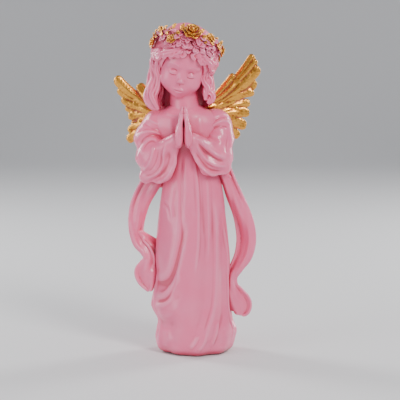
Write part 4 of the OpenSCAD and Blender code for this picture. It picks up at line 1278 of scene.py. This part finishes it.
def right_shawl():
    clays = [shawl(RIGHT_SHAWL, 1.0, 1.3, 1.7, phase=1.2)]
    inner = [(-36.8, 0.8, 76.5, 4, 0), (-32.4, 1.2, 72, 9, 30), (-27.4, 1.4, 67, 12, 30),
             (-23, 1.6, 62.6, 12, 20)]
    clays.append(shawl(inner, 1.2, 0.6, 1.5, 60, 40, 1.2, 0.8))
    return fused(clays, 0.34, 1)


def left_shawl():
    clays = [shawl(LEFT_SHAWL, 1.0, 1.4, 1.7, phase=-1.6)]
    return fused(clays, 0.34, 1)


piece("right_shawl_casting", right_shawl(), ["right_shawl"], resin)
piece("left_shawl_casting", left_shawl(), ["left_shawl"], resin)
piece("back_shawl_casting", fused([shawl(BACK_SHAWL, 1.6, 1.0, 1.7, phase=1.0, behind=True)], 0.36, 1),
      ["shawl_back"],
      resin)

# ------------------------------------------------------------------ base, felt and pins


def disc(node_name, rounding, waver):
    """Round plate that fills the node's box, with rounded edges and a slightly uneven outline."""
    lo, hi = low(node_name), high(node_name)
    middle, half = (lo + hi) / 2, (hi - lo) / 2
    a = 2 * math.pi * np.arange(96) / 96
    wobble = 1 - waver * (0.5 + 0.5 * np.cos(7 * a + 0.3) * np.cos(3 * a))
    rings = []
    for z, inset in ((lo[2], 2.5 * rounding), (lo[2], rounding), (lo[2] + 0.3 * rounding, 0.3 * rounding),
                     (lo[2] + rounding, 0), (hi[2] - rounding, 0), (hi[2] - 0.3 * rounding, 0.3 * rounding),
                     (hi[2], rounding), (hi[2], 2.5 * rounding)):
        rings.append(np.stack([middle[0] + (half[0] * wobble - inset) * np.cos(a),
                               middle[1] + (half[1] * wobble - inset) * np.sin(a), np.full(96, z)], 1))
    return loft(np.array(rings))


piece("felt_disc", disc("felt_pad", 0.3, 0.012), ["felt_pad"], felt())
piece("plug_disc", disc("base_plug", 0.5, 0.0), ["base_plug"], resin)
steel = drawn_steel()
for name in ("neck_pin", "right_wing_pin", "left_wing_pin"):
    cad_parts[name].data.materials.clear()
    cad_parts[name].data.materials.append(steel)

# ------------------------------------------------------------------ floor, light and camera

VIEW_HEIGHT = 97.0          # height of the middle of the picture
VIEW_X = 2.5
VIEW_DISTANCE = 1000.0
VIEW_RISE = 7.0             # degrees above the horizon
PICTURE = 253.6             # width of the picture at the figure


def floor():
    """Pale floor that sweeps up into the backdrop."""
    profile = [(-9000, 0), (1200, 0)]
    for k in range(1, 13):
        a = math.radians(90 * k / 12)
        profile.append((1200 + 600 * math.sin(a), 600 * (1 - math.cos(a))))
    profile.append((1800, 3500))
    grid = np.array([[(x, y, z) for x in (-5000, 5000)] for y, z in profile], float)
    mesh = write_mesh("floor", [Clay(grid.reshape(-1, 3), grid_faces(len(profile), 2, False)[:, ::-1])], MM)
    obj = bpy.data.objects.new("floor", mesh)
    bpy.context.collection.objects.link(obj)
    material, tree, principled = shader("floor_paper", Roughness=0.75)
    principled.inputs["Base Color"].default_value = (0.72, 0.72, 0.73, 1)
    mesh.materials.append(material)


def softbox(name, place, target, width, height, watts, colour=(1, 1, 1)):
    light = bpy.data.lights.new(name, "AREA")
    light.shape = "RECTANGLE"
    light.size, light.size_y = width, height
    light.energy = watts
    light.color = colour
    obj = bpy.data.objects.new(name, light)
    obj.location = place
    obj.rotation_euler = (Vector(target) - Vector(place)).to_track_quat("-Z", "Y").to_euler()
    bpy.context.collection.objects.link(obj)


floor()
MIDDLE = (0.0, 0.0, 0.11)
softbox("key", (0.55, -0.85, 0.85), MIDDLE, 0.35, 0.5, 11.0, (1.0, 0.98, 0.96))
softbox("fill", (-0.9, -0.6, 0.35), MIDDLE, 0.6, 0.8, 5.0, (0.96, 0.98, 1.0))
softbox("rim_right", (0.7, 0.55, 0.45), MIDDLE, 0.25, 0.7, 7.0)
softbox("rim_left", (-0.7, 0.5, 0.5), MIDDLE, 0.25, 0.7, 7.0)

world = bpy.data.worlds.new("studio")
world.use_nodes = True
world.node_tree.nodes["Background"].inputs["Color"].default_value = (0.93, 0.95, 1.0, 1)
world.node_tree.nodes["Background"].inputs["Strength"].default_value = 0.45
bpy.context.scene.world = world

camera = bpy.data.cameras.new("camera")
camera.sensor_width = 36.0
camera.lens = camera.sensor_width * VIEW_DISTANCE / PICTURE
camera.clip_end = 50.0
viewer = bpy.data.objects.new("camera", camera)
rise = math.radians(VIEW_RISE)
viewer.location = (VIEW_X * MM, -VIEW_DISTANCE * math.cos(rise) * MM,
                   (VIEW_HEIGHT + VIEW_DISTANCE * math.sin(rise)) * MM)
viewer.rotation_euler = (math.pi / 2 - rise, 0, 0)
bpy.context.collection.objects.link(viewer)
bpy.context.scene.camera = viewer
